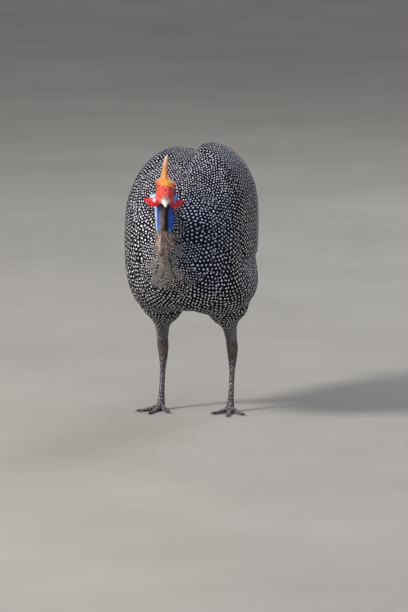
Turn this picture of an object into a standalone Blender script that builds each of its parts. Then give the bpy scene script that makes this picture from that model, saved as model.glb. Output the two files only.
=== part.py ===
"""A life-size still model of a helmeted guinea fowl, standing hunched with its head held low.

The bird faces -Y and its left side is +X. Lengths are in millimetres until TO_METRES turns them
into Blender's metres. One tube of plumage and skin runs from the tail stub to the face; the
torso, neck and head are lengths of it, parted by thin gaps.
"""

import math

import bmesh
import bpy
import numpy as np
from mathutils import Matrix, Vector

TO_METRES = 0.001
GAP = 0.35
HEAD_STEPS = 17
HEAD_AROUND = 28

# Driving sizes of the whole bird.
BACK_HEIGHT = 358.0
BELLY_HEIGHT = 136.0
BODY_HALF_WIDTH = 83.0
LEG_SPREAD = 97.0
LEG_SHIFT = 1.0
HOCK_HEIGHT = 75.0
HOCK_SETBACK = 15.0
EYE_LEVEL = 324.5
EYE_FORWARD = -190.0
EYE_OUT = 10.8
EYE_RADIUS = 4.8
LID_RADII = (6.3, 6.5, 6.0)
EAR_PLACE = (14.0, -177.5, 319.5)
EAR_RADII = (2.2, 1.5, 1.9)
GAPE_PLACE = (8.6, -209.0, 314.3)
GAPE_RADII = (2.4, 6.5, 0.5)
NOSTRIL_PLACE = (4.5, -215.0, 320.8)
NOSTRIL_RADII = (1.6, 2.3, 0.9)
HEAD_TURN = math.radians(16.0)
HEAD_TURN_Y = -172.0
HEAD_ROLL = math.radians(4.0)
HEAD_ROLL_Z = 316.0
HEAD_SWAY = -6.5
# The sway starts this far tailward of the breast. The foot of the neck bows out by a further share of it.
SWAY_LEAD = 18.0
NECK_BOW = 0.35
NECK_BOW_PLACE = 358.0
NECK_BOW_LENGTH = 16.0

# Sections of the body tube, tail to face: name, back point (y, z), belly point (y, z),
# half width, squareness above, squareness below.
SECTIONS = (
    ("tail_end", (203, 220), (188, 207), 14, 2.0, 2.0),
    ("tail_root", (182, 250), (156, 200), 24, 2.0, 2.0),
    ("rump", (156, 286), (132, 178), 44, 2.1, 2.1),
    ("lower_back", (122, 318), (104, 153), 62, 2.2, 2.5),
    ("rear_back", (78, 342), (64, 140), 72, 2.3, 3.2),
    ("mid_back", (28, BACK_HEIGHT - 3.5), (20, BELLY_HEIGHT), BODY_HALF_WIDTH - 4, 2.5, 4.0),
    ("fore_back", (-22, BACK_HEIGHT), (-28, BELLY_HEIGHT), BODY_HALF_WIDTH, 2.6, 4.0),
    ("mantle", (-64, 353), (-78, 144), 80, 2.55, 3.3),
    ("shoulders", (-93, 339), (-118, 162), 71, 2.3, 2.4),
    ("breast", (-111, 321), (-145, 194), 49, 1.6, 2.1),
    ("neck_base", (-121, 305), (-161, 224), 17, 1.25, 2.0),
    ("collar", (-130, 298), (-170, 248), 11.6, 1.6, 2.0),
    ("lower_neck", (-141, 295.5), (-175, 266), 10.7, 1.9, 2.0),
    ("mid_neck", (-150, 300), (-178.5, 280), 10.8, 2.0, 2.0),
    ("upper_neck", (-156.5, 308.5), (-181, 292), 11.1, 2.0, 2.0),
    ("nape", (-162.5, 318.5), (-184, 301.5), 12.3, 2.0, 2.0),
    ("occiput", (-168.5, 329.5), (-188, 307), 14.0, 2.1, 2.1),
    ("crown", (-179, 338.5), (-193, 307.5), 13.8, 1.8, 2.2),
    ("eyes", (-192, 340), (-198.5, 307.5), 12.6, 1.8, 2.2),
    ("brow", (-204, 335.5), (-204.5, 308.5), 10.0, 1.9, 2.1),
    ("forehead", (-211.5, 328.5), (-209.5, 309.8), 7.7, 2.1, 2.0),
    ("face", (-216, 322), (-213.5, 311.5), 5.6, 2.0, 2.0),
)

# Each folded wing heaves the plumage up beside the middle of the back, the left one further:
# height, and the angles at which it starts, peaks and has sunk again, in degrees from the widest line.
WING_HEAVE = {1: (12.5, 85.0, 77.0, 38.0), -1: (5.0, 92.0, 72.0, 25.0)}

# Where one side of the body stands out more or less than the other: side, how far, and the angles
# at which it starts, is greatest and ends.
SIDE_SWELLS = (
    (1, 6.5, 4.0, 48.0, 82.0),
    (1, 7.0, -74.0, -38.0, -14.0),
    (-1, -1.5, 0.0, 45.0, 84.0),
    (-1, -2.0, -25.0, 2.0, 30.0),
)

# How far the belly is drawn up between the thighs, and how far round from its lowest line.
ARCH_RISE = 7.5
ARCH_HALF_ANGLE = 30.0

# The bed that each folded wing lies in. Angles are from the body's widest line, in degrees.
WING_LOW_ANGLE = -15.0
WING_HIGH_ANGLE = 80.0
WING_MIDDLE_ANGLE = 25.0
WING_REAR_SPREAD = 0.30
WING_FRONT_SPREAD = 0.35
WING_BED_DEPTH = 6.5
WING_TIP_BED_DEPTH = 2.4
WING_BED_RIM = 1.2
WING_RIM = 1.3
WING_STANDS_PROUD = 3.6

# The outline of a vane along its length: place, half width, thickness.
LONG_VANE = (
    (0.0, 0.45, 1.0),
    (0.24, 0.8, 1.0),
    (0.44, 1.0, 1.0),
    (0.6, 1.0, 1.0),
    (0.75, 0.98, 1.0),
    (0.89, 0.75, 0.9),
    (1.0, 0.28, 0.65),
)
SHORT_VANE = ((0.0, 0.5, 1.0), (0.42, 0.95, 1.0), (0.82, 0.85, 0.9), (1.0, 0.30, 0.65))

# The wing's feathers, from the lowest tier to the top one. Places along the wing run from 0 at its
# rear end to 1 at its front: where the roots lie, where the tips reach at the wing's edges and at
# its middle, how many, their outline, and the heights of their undersides at (place, height) points.
WING_TIERS = (
    (0.56, 0.22, -0.13, 8, LONG_VANE, ((-0.15, 1.6), (0.0, 1.2), (0.1, -0.5), (0.25, -1.8), (0.4, -2.6), (0.56, -4.0))),
    (0.74, 0.45, 0.30, 7, SHORT_VANE, ((0.25, 0.6), (0.45, 0.5), (0.6, 0.2), (0.74, -1.0))),
    (0.90, 0.68, 0.58, 6, SHORT_VANE, ((0.55, 3.0), (0.75, 2.4), (0.9, 0.6))),
)
PLATE_REAR = 0.46
PLATE_TOP = ((0.40, -2.6), (0.5, -1.9), (0.6, -1.0), (0.72, 0.5), (0.85, 2.4), (0.93, WING_STANDS_PROUD), (1.0, 1.5))
VANE_THICKNESS = 0.65
VANE_TILT = 0.75
VANE_CROWN = 0.25
VANE_CLEARANCE = 1.7
VANE_OVERLAP = 1.42

# The tail's tiers: feathers, length from the root, root's place before the base's end, spread of the
# directions in degrees, half width, height over the tail's middle.
TAIL_TIERS = (
    (10, 82.0, 14.0, 42.0, 7.8, SHORT_VANE, 0.0),
    (5, 52.0, 20.0, 44.0, 10.0, SHORT_VANE, 5.6),
    (4, 42.0, 16.0, 36.0, 10.0, SHORT_VANE, -9.0),
)

# The torso's grid: rings behind, along and before the wing, and cells below, under and above it.
RINGS = (3, 16, 6)
CELLS = (7, 8, 3)

MATERIALS = {
    "plumage": ((0.030, 0.028, 0.036), 0.75),
    "collar_down": ((0.090, 0.078, 0.070), 0.80),
    "flight_feather": ((0.026, 0.024, 0.030), 0.65),
    "blue_skin": ((0.020, 0.110, 0.420), 0.55),
    "red_skin": ((0.560, 0.030, 0.028), 0.50),
    "casque": ((0.520, 0.220, 0.045), 0.50),
    "bill": ((0.420, 0.360, 0.300), 0.40),
    "eye": ((0.018, 0.010, 0.008), 0.08),
    "leg": ((0.100, 0.085, 0.095), 0.60),
    "claw": ((0.060, 0.050, 0.048), 0.45),
}


def clear_scene():
    for thing in list(bpy.data.objects):
        bpy.data.objects.remove(thing)


def material(name):
    found = bpy.data.materials.get(name)
    if found:
        return found
    colour, roughness = MATERIALS[name]
    made = bpy.data.materials.new(name)
    made.use_nodes = True
    shader = made.node_tree.nodes["Principled BSDF"]
    shader.inputs["Base Color"].default_value = (*colour, 1.0)
    shader.inputs["Roughness"].default_value = roughness
    shader.inputs["Metallic"].default_value = 0.0
    return made


def smooth_rows(knots, rows, at):
    """A smooth curve through rows, one row for each knot, read at the values in at."""
    knots, rows = np.asarray(knots, float), np.asarray(rows, float)
    steps = np.diff(knots)[:, None]
    slopes = np.diff(rows, axis=0) / steps
    tangents = np.empty_like(rows)
    tangents[0], tangents[-1] = slopes[0], slopes[-1]
    tangents[1:-1] = (slopes[1:] * steps[:-1] + slopes[:-1] * steps[1:]) / (steps[:-1] + steps[1:])
    at = np.asarray(at, float)
    i = np.clip(np.searchsorted(knots, at) - 1, 0, len(knots) - 2)
    step = (knots[i + 1] - knots[i])[..., None]
    t = ((at - knots[i]) / step[..., 0])[..., None]
    start, end = rows[i], rows[i + 1]
    lead, trail = tangents[i] * step, tangents[i + 1] * step
    bend = (2 * t**3 - 3 * t**2 + 1) * start + (t**3 - 2 * t**2 + t) * lead
    return bend + (3 * t**2 - 2 * t**3) * end + (t**3 - t**2) * trail


def ease(value, low, high):
    """0 below low, 1 above high, with a smooth rise between."""
    t = np.clip((value - low) / (high - low), 0.0, 1.0)
    return t * t * (3 - 2 * t)


class BodyTube:
    """The plumage outline as one tube. A place on it is s, in mm from the tail, and an angle."""

    def __init__(self):
        self.rows = np.array([[*back, *belly, *rest] for _, back, belly, *rest in SECTIONS])
        middles = (self.rows[:, 0:2] + self.rows[:, 2:4]) / 2
        hops = np.linalg.norm(np.diff(middles, axis=0), axis=1)
        self.knots = np.concatenate([[0.0], np.cumsum(hops)])
        self.at = {section[0]: s for section, s in zip(SECTIONS, self.knots)}

    def sections(self, s):
        return smooth_rows(self.knots, self.rows, s)

    def hull(self, s, angle):
        """Points of the whole bird's outline, for arrays of s and of angles in radians."""
        s, angle = np.broadcast_arrays(np.asarray(s, float), np.asarray(angle, float))
        row = self.sections(s)
        middle = (row[..., 0:2] + row[..., 2:4]) / 2
        reach = (row[..., 0:2] - row[..., 2:4]) / 2
        across, along = np.cos(angle), np.sin(angle)
        square = np.where(along > 0, row[..., 5], row[..., 6])
        radius = (np.abs(across) ** square + np.abs(along) ** square) ** (-1 / square)
        points = np.empty(s.shape + (3,))
        points[..., 0] = row[..., 4] * radius * across
        points[..., 1:] = middle + reach * (radius * along)[..., None]
        points[..., 0] += self.swell(s, angle)
        points[..., 2] += self.heave(s, angle) + self.arch(s, angle)
        return points

    def arch(self, s, angle):
        """How far the belly is drawn up, at arrays of s and of angles."""
        from_below = np.degrees(np.arccos(np.clip(-np.sin(angle), -1.0, 1.0)))
        window = ease(s, self.at["rear_back"] - 25, self.at["mid_back"])
        window = window * (1 - ease(s, self.at["mantle"] - 5, self.at["shoulders"]))
        return ARCH_RISE * window * (1 - ease(from_below, 4.0, ARCH_HALF_ANGLE))

    def swell(self, s, angle):
        """How far the body's sides stand out or in, at arrays of s and of angles."""
        degrees = np.degrees(np.arctan2(np.sin(angle), np.abs(np.cos(angle))))
        window = ease(s, self.at["lower_back"], self.at["mid_back"])
        window = window * (1 - ease(s, self.at["mantle"] - 6, self.at["breast"]))
        total = 0.0
        for side, size, low, peak, high in SIDE_SWELLS:
            mine = np.where(np.cos(angle) * side >= 0, side, 0.0)
            total = total + mine * size * ease(degrees, low, peak) * (1 - ease(degrees, peak, high))
        return total * window

    def heave(self, s, angle):
        """How far the wings lift the back, at arrays of s and of angles."""
        degrees = np.degrees(np.arctan2(np.sin(angle), np.abs(np.cos(angle))))
        window = ease(s, self.at["lower_back"], self.at["mid_back"])
        window = window * (1 - ease(s, self.at["mantle"] - 6, self.at["shoulders"] + 10))
        total = 0.0
        for side, (height, inner, peak, outer) in WING_HEAVE.items():
            mine = np.where(np.cos(angle) * side >= 0, 1.0, 0.0)
            total = total + mine * height * (1 - ease(degrees, peak, inner)) * ease(degrees, outer, peak)
        return total * window

    def normals(self, s, angle):
        small_s, small_angle = 0.5, 0.01
        along = self.hull(np.asarray(s) + small_s, angle) - self.hull(np.asarray(s) - small_s, angle)
        around = self.hull(s, angle + small_angle) - self.hull(s, angle - small_angle)
        normal = np.cross(around, along)
        return normal / np.maximum(np.linalg.norm(normal, axis=-1), 1e-9)[..., None]

    def surface(self, s, angle, raised=0.0):
        """Points of the plumage's outline, raised off it by a height."""
        s, angle, raised = np.broadcast_arrays(np.asarray(s, float), np.asarray(angle, float), raised)
        return self.hull(s, angle) + self.normals(s, angle) * raised[..., None]

    def facing(self, s):
        """The unit normal of the section plane at s, towards the head."""
        row = self.sections(s)
        up = row[0:2] - row[2:4]
        up /= np.linalg.norm(up)
        return np.array([0.0, -up[1], up[0]])


TUBE = BodyTube()


def turn_head(points, share=1.0, sway=1.0):
    """Poses the head's points: tipped to one side, turned to the bird's left and held a little aside."""
    roll, angle = HEAD_ROLL * np.asarray(share), HEAD_TURN * np.asarray(share)
    x, y, z = points[..., 0], points[..., 1] - HEAD_TURN_Y, points[..., 2] - HEAD_ROLL_Z
    rolled = x * np.cos(roll) + z * np.sin(roll)
    turned = points.copy()
    turned[..., 0] = rolled * np.cos(angle) - y * np.sin(angle) + HEAD_SWAY * np.asarray(sway)
    turned[..., 1] = rolled * np.sin(angle) + y * np.cos(angle) + HEAD_TURN_Y
    turned[..., 2] = z * np.cos(roll) - x * np.sin(roll) + HEAD_ROLL_Z
    return turned


def turn_share(s):
    return ease(s, TUBE.at["lower_neck"], TUBE.at["occiput"])


def sway_share(s):
    """How much of the head's sway the tube has at s."""
    bow = NECK_BOW * np.exp(-(((s - NECK_BOW_PLACE) / NECK_BOW_LENGTH) ** 2))
    return ease(s, TUBE.at["breast"] - SWAY_LEAD, TUBE.at["collar"]) + bow


def pose_tube(points, s):
    """Poses points of the tube: the neck sways first, and turns towards the head."""
    return turn_head(points, turn_share(s), sway_share(s))


def mesh_object(name, points, faces, slot=None):
    """A mesh object from points in mm. With no slot it is a helper, left out of the model."""
    mesh = bpy.data.meshes.new(name)
    mesh.from_pydata([tuple(float(c) * TO_METRES for c in p) for p in points], [], faces)
    mesh.validate()
    thing = bpy.data.objects.new(name, mesh)
    bpy.context.scene.collection.objects.link(thing)
    if slot:
        mesh.materials.append(material(slot))
        finish_shading(thing)
    else:
        thing.hide_render = True
        thing.display_type = "WIRE"
    return thing


def finish_shading(thing):
    thing.data.shade_smooth()
    thing.data.set_sharp_from_angle(angle=math.radians(40))


def loft_faces(rings, around):
    """Triangles that join rings of points one after another and close both ends with fans."""
    faces = []
    for i in range(rings - 1):
        for j in range(around):
            k = (j + 1) % around
            a, b = i * around + j, i * around + k
            c, d = b + around, a + around
            faces += [(a, b, c), (a, c, d)]
    first, last = rings * around, rings * around + 1
    for j in range(around):
        k = (j + 1) % around
        faces.append((first, k, j))
        faces.append((last, (rings - 1) * around + j, (rings - 1) * around + k))
    return faces


def loft(name, rings, slot=None):
    """A closed body through rings, an array of shape (rings, points, 3), ends closed at their middles."""
    rings = np.asarray(rings, float)
    points = np.concatenate([rings.reshape(-1, 3), [rings[0].mean(0)], [rings[-1].mean(0)]])
    thing = mesh_object(name, points, loft_faces(len(rings), rings.shape[1]), slot)
    face_outwards(thing.data)
    return thing


def face_outwards(mesh):
    shape = bmesh.new()
    shape.from_mesh(mesh)
    bmesh.ops.recalc_face_normals(shape, faces=shape.faces)
    if shape.calc_volume(signed=True) < 0:
        bmesh.ops.reverse_faces(shape, faces=shape.faces)
    shape.to_mesh(mesh)
    shape.free()


def tube_rings(stations, around, raised=0.0):
    angles = np.linspace(0, 2 * math.pi, around, endpoint=False)
    s, angle = np.meshgrid(stations, angles, indexing="ij")
    return pose_tube(TUBE.surface(s, angle, raised), s)


def forward(s):
    """The way the tube runs at s, towards the head."""
    ends = np.zeros((2, 3)) + [TUBE.facing(s), [0.0, 0.0, 0.0]]
    ends[:, 1:] += [HEAD_TURN_Y, HEAD_ROLL_Z]
    posed = pose_tube(ends, np.full(2, s))
    return posed[0] - posed[1]


def tube_length(name, start, end, steps, around, slot):
    """A length of the body tube between two sections, held off its tailward neighbour by the gap."""
    stations = np.linspace(TUBE.at[start], TUBE.at[end], steps)
    rings = tube_rings(stations, around)
    if start != SECTIONS[0][0]:
        rings[0] += forward(stations[0]) * GAP
    return loft(name, rings, slot)


def bed_depth(place):
    """The depth of a wing's bed, away from its edges, at places along the wing."""
    return WING_TIP_BED_DEPTH + (WING_BED_DEPTH - WING_TIP_BED_DEPTH) * ease(place, 0.05, 0.45)


class TorsoGrid:
    """Rings of the torso whose points fall on the edges of both wings' beds."""

    def __init__(self):
        at = TUBE.at
        self.rear, self.front = at["tail_root"] + 16.0, at["shoulders"] - 2.0
        ends = (at["tail_root"], self.rear, self.front, at["neck_base"])
        runs = [np.linspace(a, b, n, endpoint=False) for a, b, n in zip(ends, ends[1:], RINGS)]
        self.stations = np.concatenate(runs + [[ends[-1]]])
        self.wing_rows = slice(RINGS[0], RINGS[0] + RINGS[1] + 1)
        self.wing_columns = slice(CELLS[0], CELLS[0] + CELLS[1] + 1)
        left = self.side_angles()
        self.angles = np.concatenate([left, math.pi - left[:, -2:0:-1]], axis=1)
        self.s = np.repeat(self.stations[:, None], self.angles.shape[1], axis=1)
        self.depth = self.bed_depths()

    def span(self, s):
        """The wing's lowest and highest angle at s, in degrees. They close in at its two ends."""
        rear = WING_REAR_SPREAD + (1 - WING_REAR_SPREAD) * ease(np.abs(s - self.rear), 0, 62)
        front = WING_FRONT_SPREAD + (1 - WING_FRONT_SPREAD) * ease(np.abs(s - self.front), 0, 46)
        spread = np.minimum(rear, front)
        low = WING_MIDDLE_ANGLE + (WING_LOW_ANGLE - WING_MIDDLE_ANGLE) * spread
        return low, WING_MIDDLE_ANGLE + (WING_HIGH_ANGLE - WING_MIDDLE_ANGLE) * spread

    def side_angles(self):
        """Angles up the bird's left side, from the belly to the back, one row for each station."""
        rows = []
        for s in self.stations:
            low, high = self.span(s)
            ends = (-90.0, low, high, 90.0)
            runs = [np.linspace(a, b, n, endpoint=False) for a, b, n in zip(ends, ends[1:], CELLS)]
            rows.append(np.concatenate(runs + [[90.0]]))
        return np.radians(rows)

    def bed_depths(self):
        """How far each point of the grid is sunk under a wing."""
        left = np.zeros((len(self.stations), sum(CELLS) + 1))
        left[self.wing_rows, self.wing_columns] = WING_BED_RIM
        rows, columns = self.wing_rows, self.wing_columns
        inside = slice(rows.start + 1, rows.stop - 1)
        place = np.linspace(0, 1, RINGS[1] + 1)[1:-1]
        left[inside, columns.start + 1 : columns.stop - 1] = bed_depth(place)[:, None]
        return np.concatenate([left, left[:, -2:0:-1]], axis=1)

    def points(self, raised=0.0):
        return pose_tube(TUBE.surface(self.s, self.angles, raised - self.depth), self.s)

    def wing_patch(self, side):
        """The part of the grid under one wing, split alike: arrays of s, angle and depth."""
        patch = [whole[self.wing_rows, self.wing_columns] for whole in (self.s, self.angles, self.depth)]
        if side > 0:
            return patch
        s, angles, depth = [half[:, ::-1] for half in patch]
        return s, math.pi - angles, depth


GRID = TorsoGrid()


def apply_boolean(thing, others, operation, solver="EXACT"):
    """Joins or cuts thing with helper objects, then removes them."""
    group = bpy.data.collections.new(thing.name + "_pieces")
    for other in others:
        group.objects.link(other)
    change = thing.modifiers.new(operation.title(), "BOOLEAN")
    change.operation = operation
    change.solver = solver
    change.operand_type = "COLLECTION"
    change.collection = group
    bpy.context.view_layer.update()
    graph = bpy.context.evaluated_depsgraph_get()
    result = bpy.data.meshes.new_from_object(thing.evaluated_get(graph))
    thing.modifiers.clear()
    old, thing.data = thing.data, result
    result.name = thing.name
    bpy.data.meshes.remove(old)
    for other in others:
        bpy.data.objects.remove(other)
    bpy.data.collections.remove(group)
    keep_largest(thing)
    finish_shading(thing)
    return thing


def keep_largest(thing):
    """Keeps only the closed surface that holds the most, which drops loose scraps and sealed hollows."""
    shape = bmesh.new()
    shape.from_mesh(thing.data)
    bmesh.ops.remove_doubles(shape, verts=shape.verts, dist=2e-6)
    bmesh.ops.triangulate(shape, faces=shape.faces)
    waiting, parts = set(shape.faces), []
    while waiting:
        stack, part = [waiting.pop()], []
        while stack:
            face = stack.pop()
            part.append(face)
            near = {other for edge in face.edges for other in edge.link_faces} & waiting
            waiting -= near
            stack += near
        parts.append(part)
    parts.sort(key=surface_volume)
    bmesh.ops.delete(shape, geom=[face for part in parts[:-1] for face in part], context="FACES")
    shape.to_mesh(thing.data)
    shape.free()


def surface_volume(faces):
    return sum(f.verts[0].co.cross(f.verts[1].co).dot(f.verts[2].co) for f in faces) / 6


def body_cutter():
    """The torso, a gap larger all round, to cut pieces that grow from it."""
    return loft("body_cutter", GRID.points(GAP))


def head_cutter():
    """The head, a gap larger all round and longer at the neck, to cut pieces that grow from it."""
    stations = np.linspace(TUBE.at["nape"], TUBE.at["face"], HEAD_STEPS)
    rings = tube_rings(stations, HEAD_AROUND, GAP)
    rings[0] -= forward(stations[0]) * 6.0
    rings[-1] += forward(stations[-1]) * GAP
    return loft("head_cutter", rings)


def ellipsoid_rings(centre, radii, turn=None, rings=10, around=16):
    """Rings of an ellipsoid about centre, its third radius along its own axis of rings."""
    heights = np.linspace(-math.pi / 2, math.pi / 2, rings + 2)[1:-1]
    angles = np.linspace(0, 2 * math.pi, around, endpoint=False)
    h, a = np.meshgrid(heights, angles, indexing="ij")
    points = np.stack([np.cos(h) * np.cos(a), np.cos(h) * np.sin(a), np.sin(h)], axis=-1) * radii
    if turn is not None:
        points = points @ np.array(turn).T
    return points + centre


def turned(x=0.0, y=0.0, z=0.0):
    """The rotation matrix of turns about X, then Y, then Z, in degrees."""
    made = Matrix.Identity(3)
    for angle, axis in ((x, "X"), (y, "Y"), (z, "Z")):
        made = Matrix.Rotation(math.radians(angle), 3, axis) @ made
    return np.array(made)


def make_torso_and_neck():
    rings = GRID.points()
    rings[0] += forward(GRID.stations[0]) * GAP
    loft("torso", rings, "plumage")
    tube_length("neck_feathered", "neck_base", "lower_neck", 8, 28, "collar_down")
    tube_length("neck_bare", "lower_neck", "nape", 7, 24, "blue_skin")


def wing_angles(place, share):
    """Angles in radians for places along the wing and shares of its width, from its low edge up."""
    s = GRID.rear + np.maximum(place, 0) * (GRID.front - GRID.rear)
    low, high = GRID.span(s)
    return np.radians(low + (high - low) * share)


def wing_points(place, share, height, side):
    """Points over one wing's bed, held at a height from the bird's outline."""
    angle = wing_angles(place, share)
    s = GRID.rear + place * (GRID.front - GRID.rear)
    return TUBE.surface(s, angle if side > 0 else math.pi - angle, height)


def least_height(place, share):
    """The lowest a vane may lie over the bed, at places along the wing and shares of its width."""
    cells_in = np.clip(np.minimum(share, 1 - share) * CELLS[1], 0, 1)
    rings_in = np.clip(place * RINGS[1], 0, 1)
    depth = WING_BED_RIM + (bed_depth(place) - WING_BED_RIM) * np.minimum(cells_in, rings_in)
    return VANE_CLEARANCE - depth * np.clip(1 + place * RINGS[1], 0, 1)


def read_curve(curve, at):
    places, values = np.array(curve).T
    return np.interp(at, places, values)


def wing_plate(side):
    """The folded wing's plate: its inner face follows the bed and its front carries the coverts."""
    s, angle, depth = GRID.wing_patch(side)
    place = (s - GRID.rear) / (GRID.front - GRID.rear)
    first = int(math.ceil(PLATE_REAR * RINGS[1]))
    s, angle, depth, place = [whole[first:] for whole in (s, angle, depth, place)]
    inner = TUBE.surface(s, angle, GAP - depth)
    top = np.where(depth > WING_BED_RIM, read_curve(PLATE_TOP, place), 0.0)
    top = np.maximum(top, GAP - depth + WING_RIM)
    return inner, TUBE.surface(s, angle, top)


def vane(name, outline, place_at):
    """One closed vane. place_at turns places along and across it, and heights, into points."""
    along, wide, thick = np.array(outline).T
    across = np.array([-1.0, 0.0, 1.0])
    t, c = np.meshgrid(along, across, indexing="ij")
    under = VANE_CROWN * (1 - c**2) - VANE_TILT * c
    thickness = VANE_THICKNESS * thick[:, None]
    spread = c * wide[:, None]
    return plate(name, place_at(t, spread, under, 0 * thickness), place_at(t, spread, under, thickness))


def wing_vanes(side):
    vanes = []
    for root, edge_tip, middle_tip, count, outline, heights in WING_TIERS:
        spacing = 1.0 / count
        for i in range(count):
            share = (i + 0.5) * spacing
            tip = middle_tip + (edge_tip - middle_tip) * abs(2 * share - 1.06) ** 2.2

            def place_at(along, across, under, thickness):
                place = root + (tip - root) * along
                shares = share + across * spacing * VANE_OVERLAP / 2
                shares = np.clip(shares, 0.012, 0.97)
                height = np.maximum(read_curve(heights, place) + under, least_height(place, shares))
                return wing_points(place, shares, height + thickness, side)

            vanes.append(vane("vane", outline, place_at))
    return vanes


def shell_faces(rows, columns):
    """Triangles of a closed plate from an inner and an outer grid of points, split alike on both."""
    size = rows * columns
    faces = []
    for i in range(rows - 1):
        for j in range(columns - 1):
            a, b = i * columns + j, i * columns + j + 1
            c, d = b + columns, a + columns
            faces += [(a, b, c), (a, c, d)]
            faces += [(a + size, c + size, b + size), (a + size, d + size, c + size)]
    rim = [j for j in range(columns)]
    rim += [i * columns + columns - 1 for i in range(1, rows)]
    rim += [(rows - 1) * columns + j for j in range(columns - 2, -1, -1)]
    rim += [i * columns for i in range(rows - 2, 0, -1)]
    for a, b in zip(rim, rim[1:] + rim[:1]):
        faces += [(a, a + size, b + size), (a, b + size, b)]
    return faces


def plate(name, inner, outer, slot=None):
    """A closed plate between two grids of points."""
    rows, columns = inner.shape[:2]
    points = np.concatenate([inner.reshape(-1, 3), outer.reshape(-1, 3)])
    thing = mesh_object(name, points, shell_faces(rows, columns), slot)
    face_outwards(thing.data)
    return thing


def make_wings():
    for side, name in ((1, "wing_L"), (-1, "wing_R")):
        wing = plate(name, *wing_plate(side), "flight_feather")
        apply_boolean(wing, wing_vanes(side), "UNION")


# How the tail's feathers step down from its middle, hang like a roof, droop and shorten sideways.
TAIL_STEP = 1.05
TAIL_ROOF = 34.0
TAIL_DROOP = 5.0
TAIL_TAPER = 0.22
TAIL_ROOT_WIDTH = 14.0


def make_tail():
    """The drooping tail: a low roof of feathers on a base that carries on the body's line."""
    tail = tube_length("tail", "tail_end", "tail_root", 5, 24, "flight_feather")
    end = TUBE.sections(TUBE.at["tail_end"])
    fall = -TUBE.facing(TUBE.at["tail_end"])
    up = np.cross([1.0, 0.0, 0.0], fall)
    up *= np.sign(up[2])
    middle = np.array([0.0, (end[0] + end[2]) / 2, (end[1] + end[3]) / 2])
    vanes = []
    for count, length, sunk, spread, half_width, outline, lift in TAIL_TIERS:
        for i in range(count):
            out = i - (count - 1) / 2
            turn = math.radians(spread * out / (count - 1))
            way = fall * math.cos(turn) + np.array([1.0, 0.0, 0.0]) * math.sin(turn)
            root = middle - fall * sunk + np.array([out * TAIL_ROOT_WIDTH / count, 0.0, 0.0])
            layer = lift - TAIL_STEP * abs(out) - (TAIL_STEP if out < 0 else 0.0)
            side_way = np.cross(up, way)
            curl = -TAIL_ROOF * (out / count) ** 2
            reach = length * (1 - TAIL_TAPER * (2 * out / count) ** 2)

            def place_at(along, across, under, thickness):
                drop = curl * along - TAIL_DROOP * along**2 + layer * np.clip(along * 3, 0.35, 1)
                crown = under + VANE_TILT * np.sign(across)
                tilt = math.copysign(1.0, -out if out else 1) * across * VANE_TILT * 0.8
                points = root + way * (along * reach)[..., None] + side_way * (across * half_width)[..., None]
                return points + up * (drop + tilt + crown + thickness)[..., None]

            vanes.append(vane("vane", outline, place_at))
    apply_boolean(tail, vanes, "UNION")


def head_lump(name, side, centre, radii, turn=None, rings=6, around=12):
    """An ellipsoid helper on one side of the head. centre and turn are for the bird's left side."""
    shape = ellipsoid_rings(np.array(centre), np.array(radii), turn, rings, around)
    shape[..., 0] *= side
    return loft(name, turn_head(shape))


def make_head():
    """The head with its eyelids, ear openings and the corners of the mouth."""
    head = tube_length("head", "nape", "face", HEAD_STEPS, HEAD_AROUND, "red_skin")
    eye = (EYE_OUT, EYE_FORWARD, EYE_LEVEL)
    socket = (EYE_RADIUS + GAP,) * 3
    across = turned(y=90)
    lids = [head_lump("lid", side, eye, LID_RADII, across, 7, 14) for side in (1, -1)]
    apply_boolean(head, lids, "UNION")
    cuts = []
    for side in (1, -1):
        cuts.append(head_lump("socket", side, eye, socket, across, 7, 14))
        cuts.append(head_lump("opening", side, (EYE_OUT + 6.0, EYE_FORWARD, EYE_LEVEL), (3.3, 3.9, 5.6), across, 5, 12))
        cuts.append(head_lump("ear", side, EAR_PLACE, EAR_RADII))
        cuts.append(head_lump("gape", side, GAPE_PLACE, GAPE_RADII, None, 4, 10))
    apply_boolean(head, cuts, "DIFFERENCE")


def make_eyes():
    for side, name in ((1, "eye_L"), (-1, "eye_R")):
        centre = np.array([side * EYE_OUT, EYE_FORWARD, EYE_LEVEL])
        ball = ellipsoid_rings(centre, (EYE_RADIUS,) * 3, turned(y=90), 7, 14)
        loft(name, turn_head(ball), "eye")


# The casque's levels above the crown: height, half width, half length, middle's y.
CASQUE_LEVELS = (
    (-9.0, 6.0, 13.0, -190.0),
    (-4.0, 9.8, 14.2, -189.8),
    (-1.0, 13.6, 15.0, -189.5),
    (2.0, 10.2, 13.8, -189.0),
    (4.5, 6.3, 12.2, -188.5),
    (8.0, 4.9, 10.4, -187.6),
    (14.0, 4.2, 8.6, -186.2),
    (22.0, 3.6, 6.6, -184.6),
    (26.5, 3.0, 4.8, -183.4),
    (31.0, 2.3, 3.2, -182.6),
    (33.5, 1.1, 1.5, -182.2),
)
CASQUE_BASE = 338.5
CASQUE_SADDLE = 4.0
CASQUE_SADDLE_HEIGHT = 6.0


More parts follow.
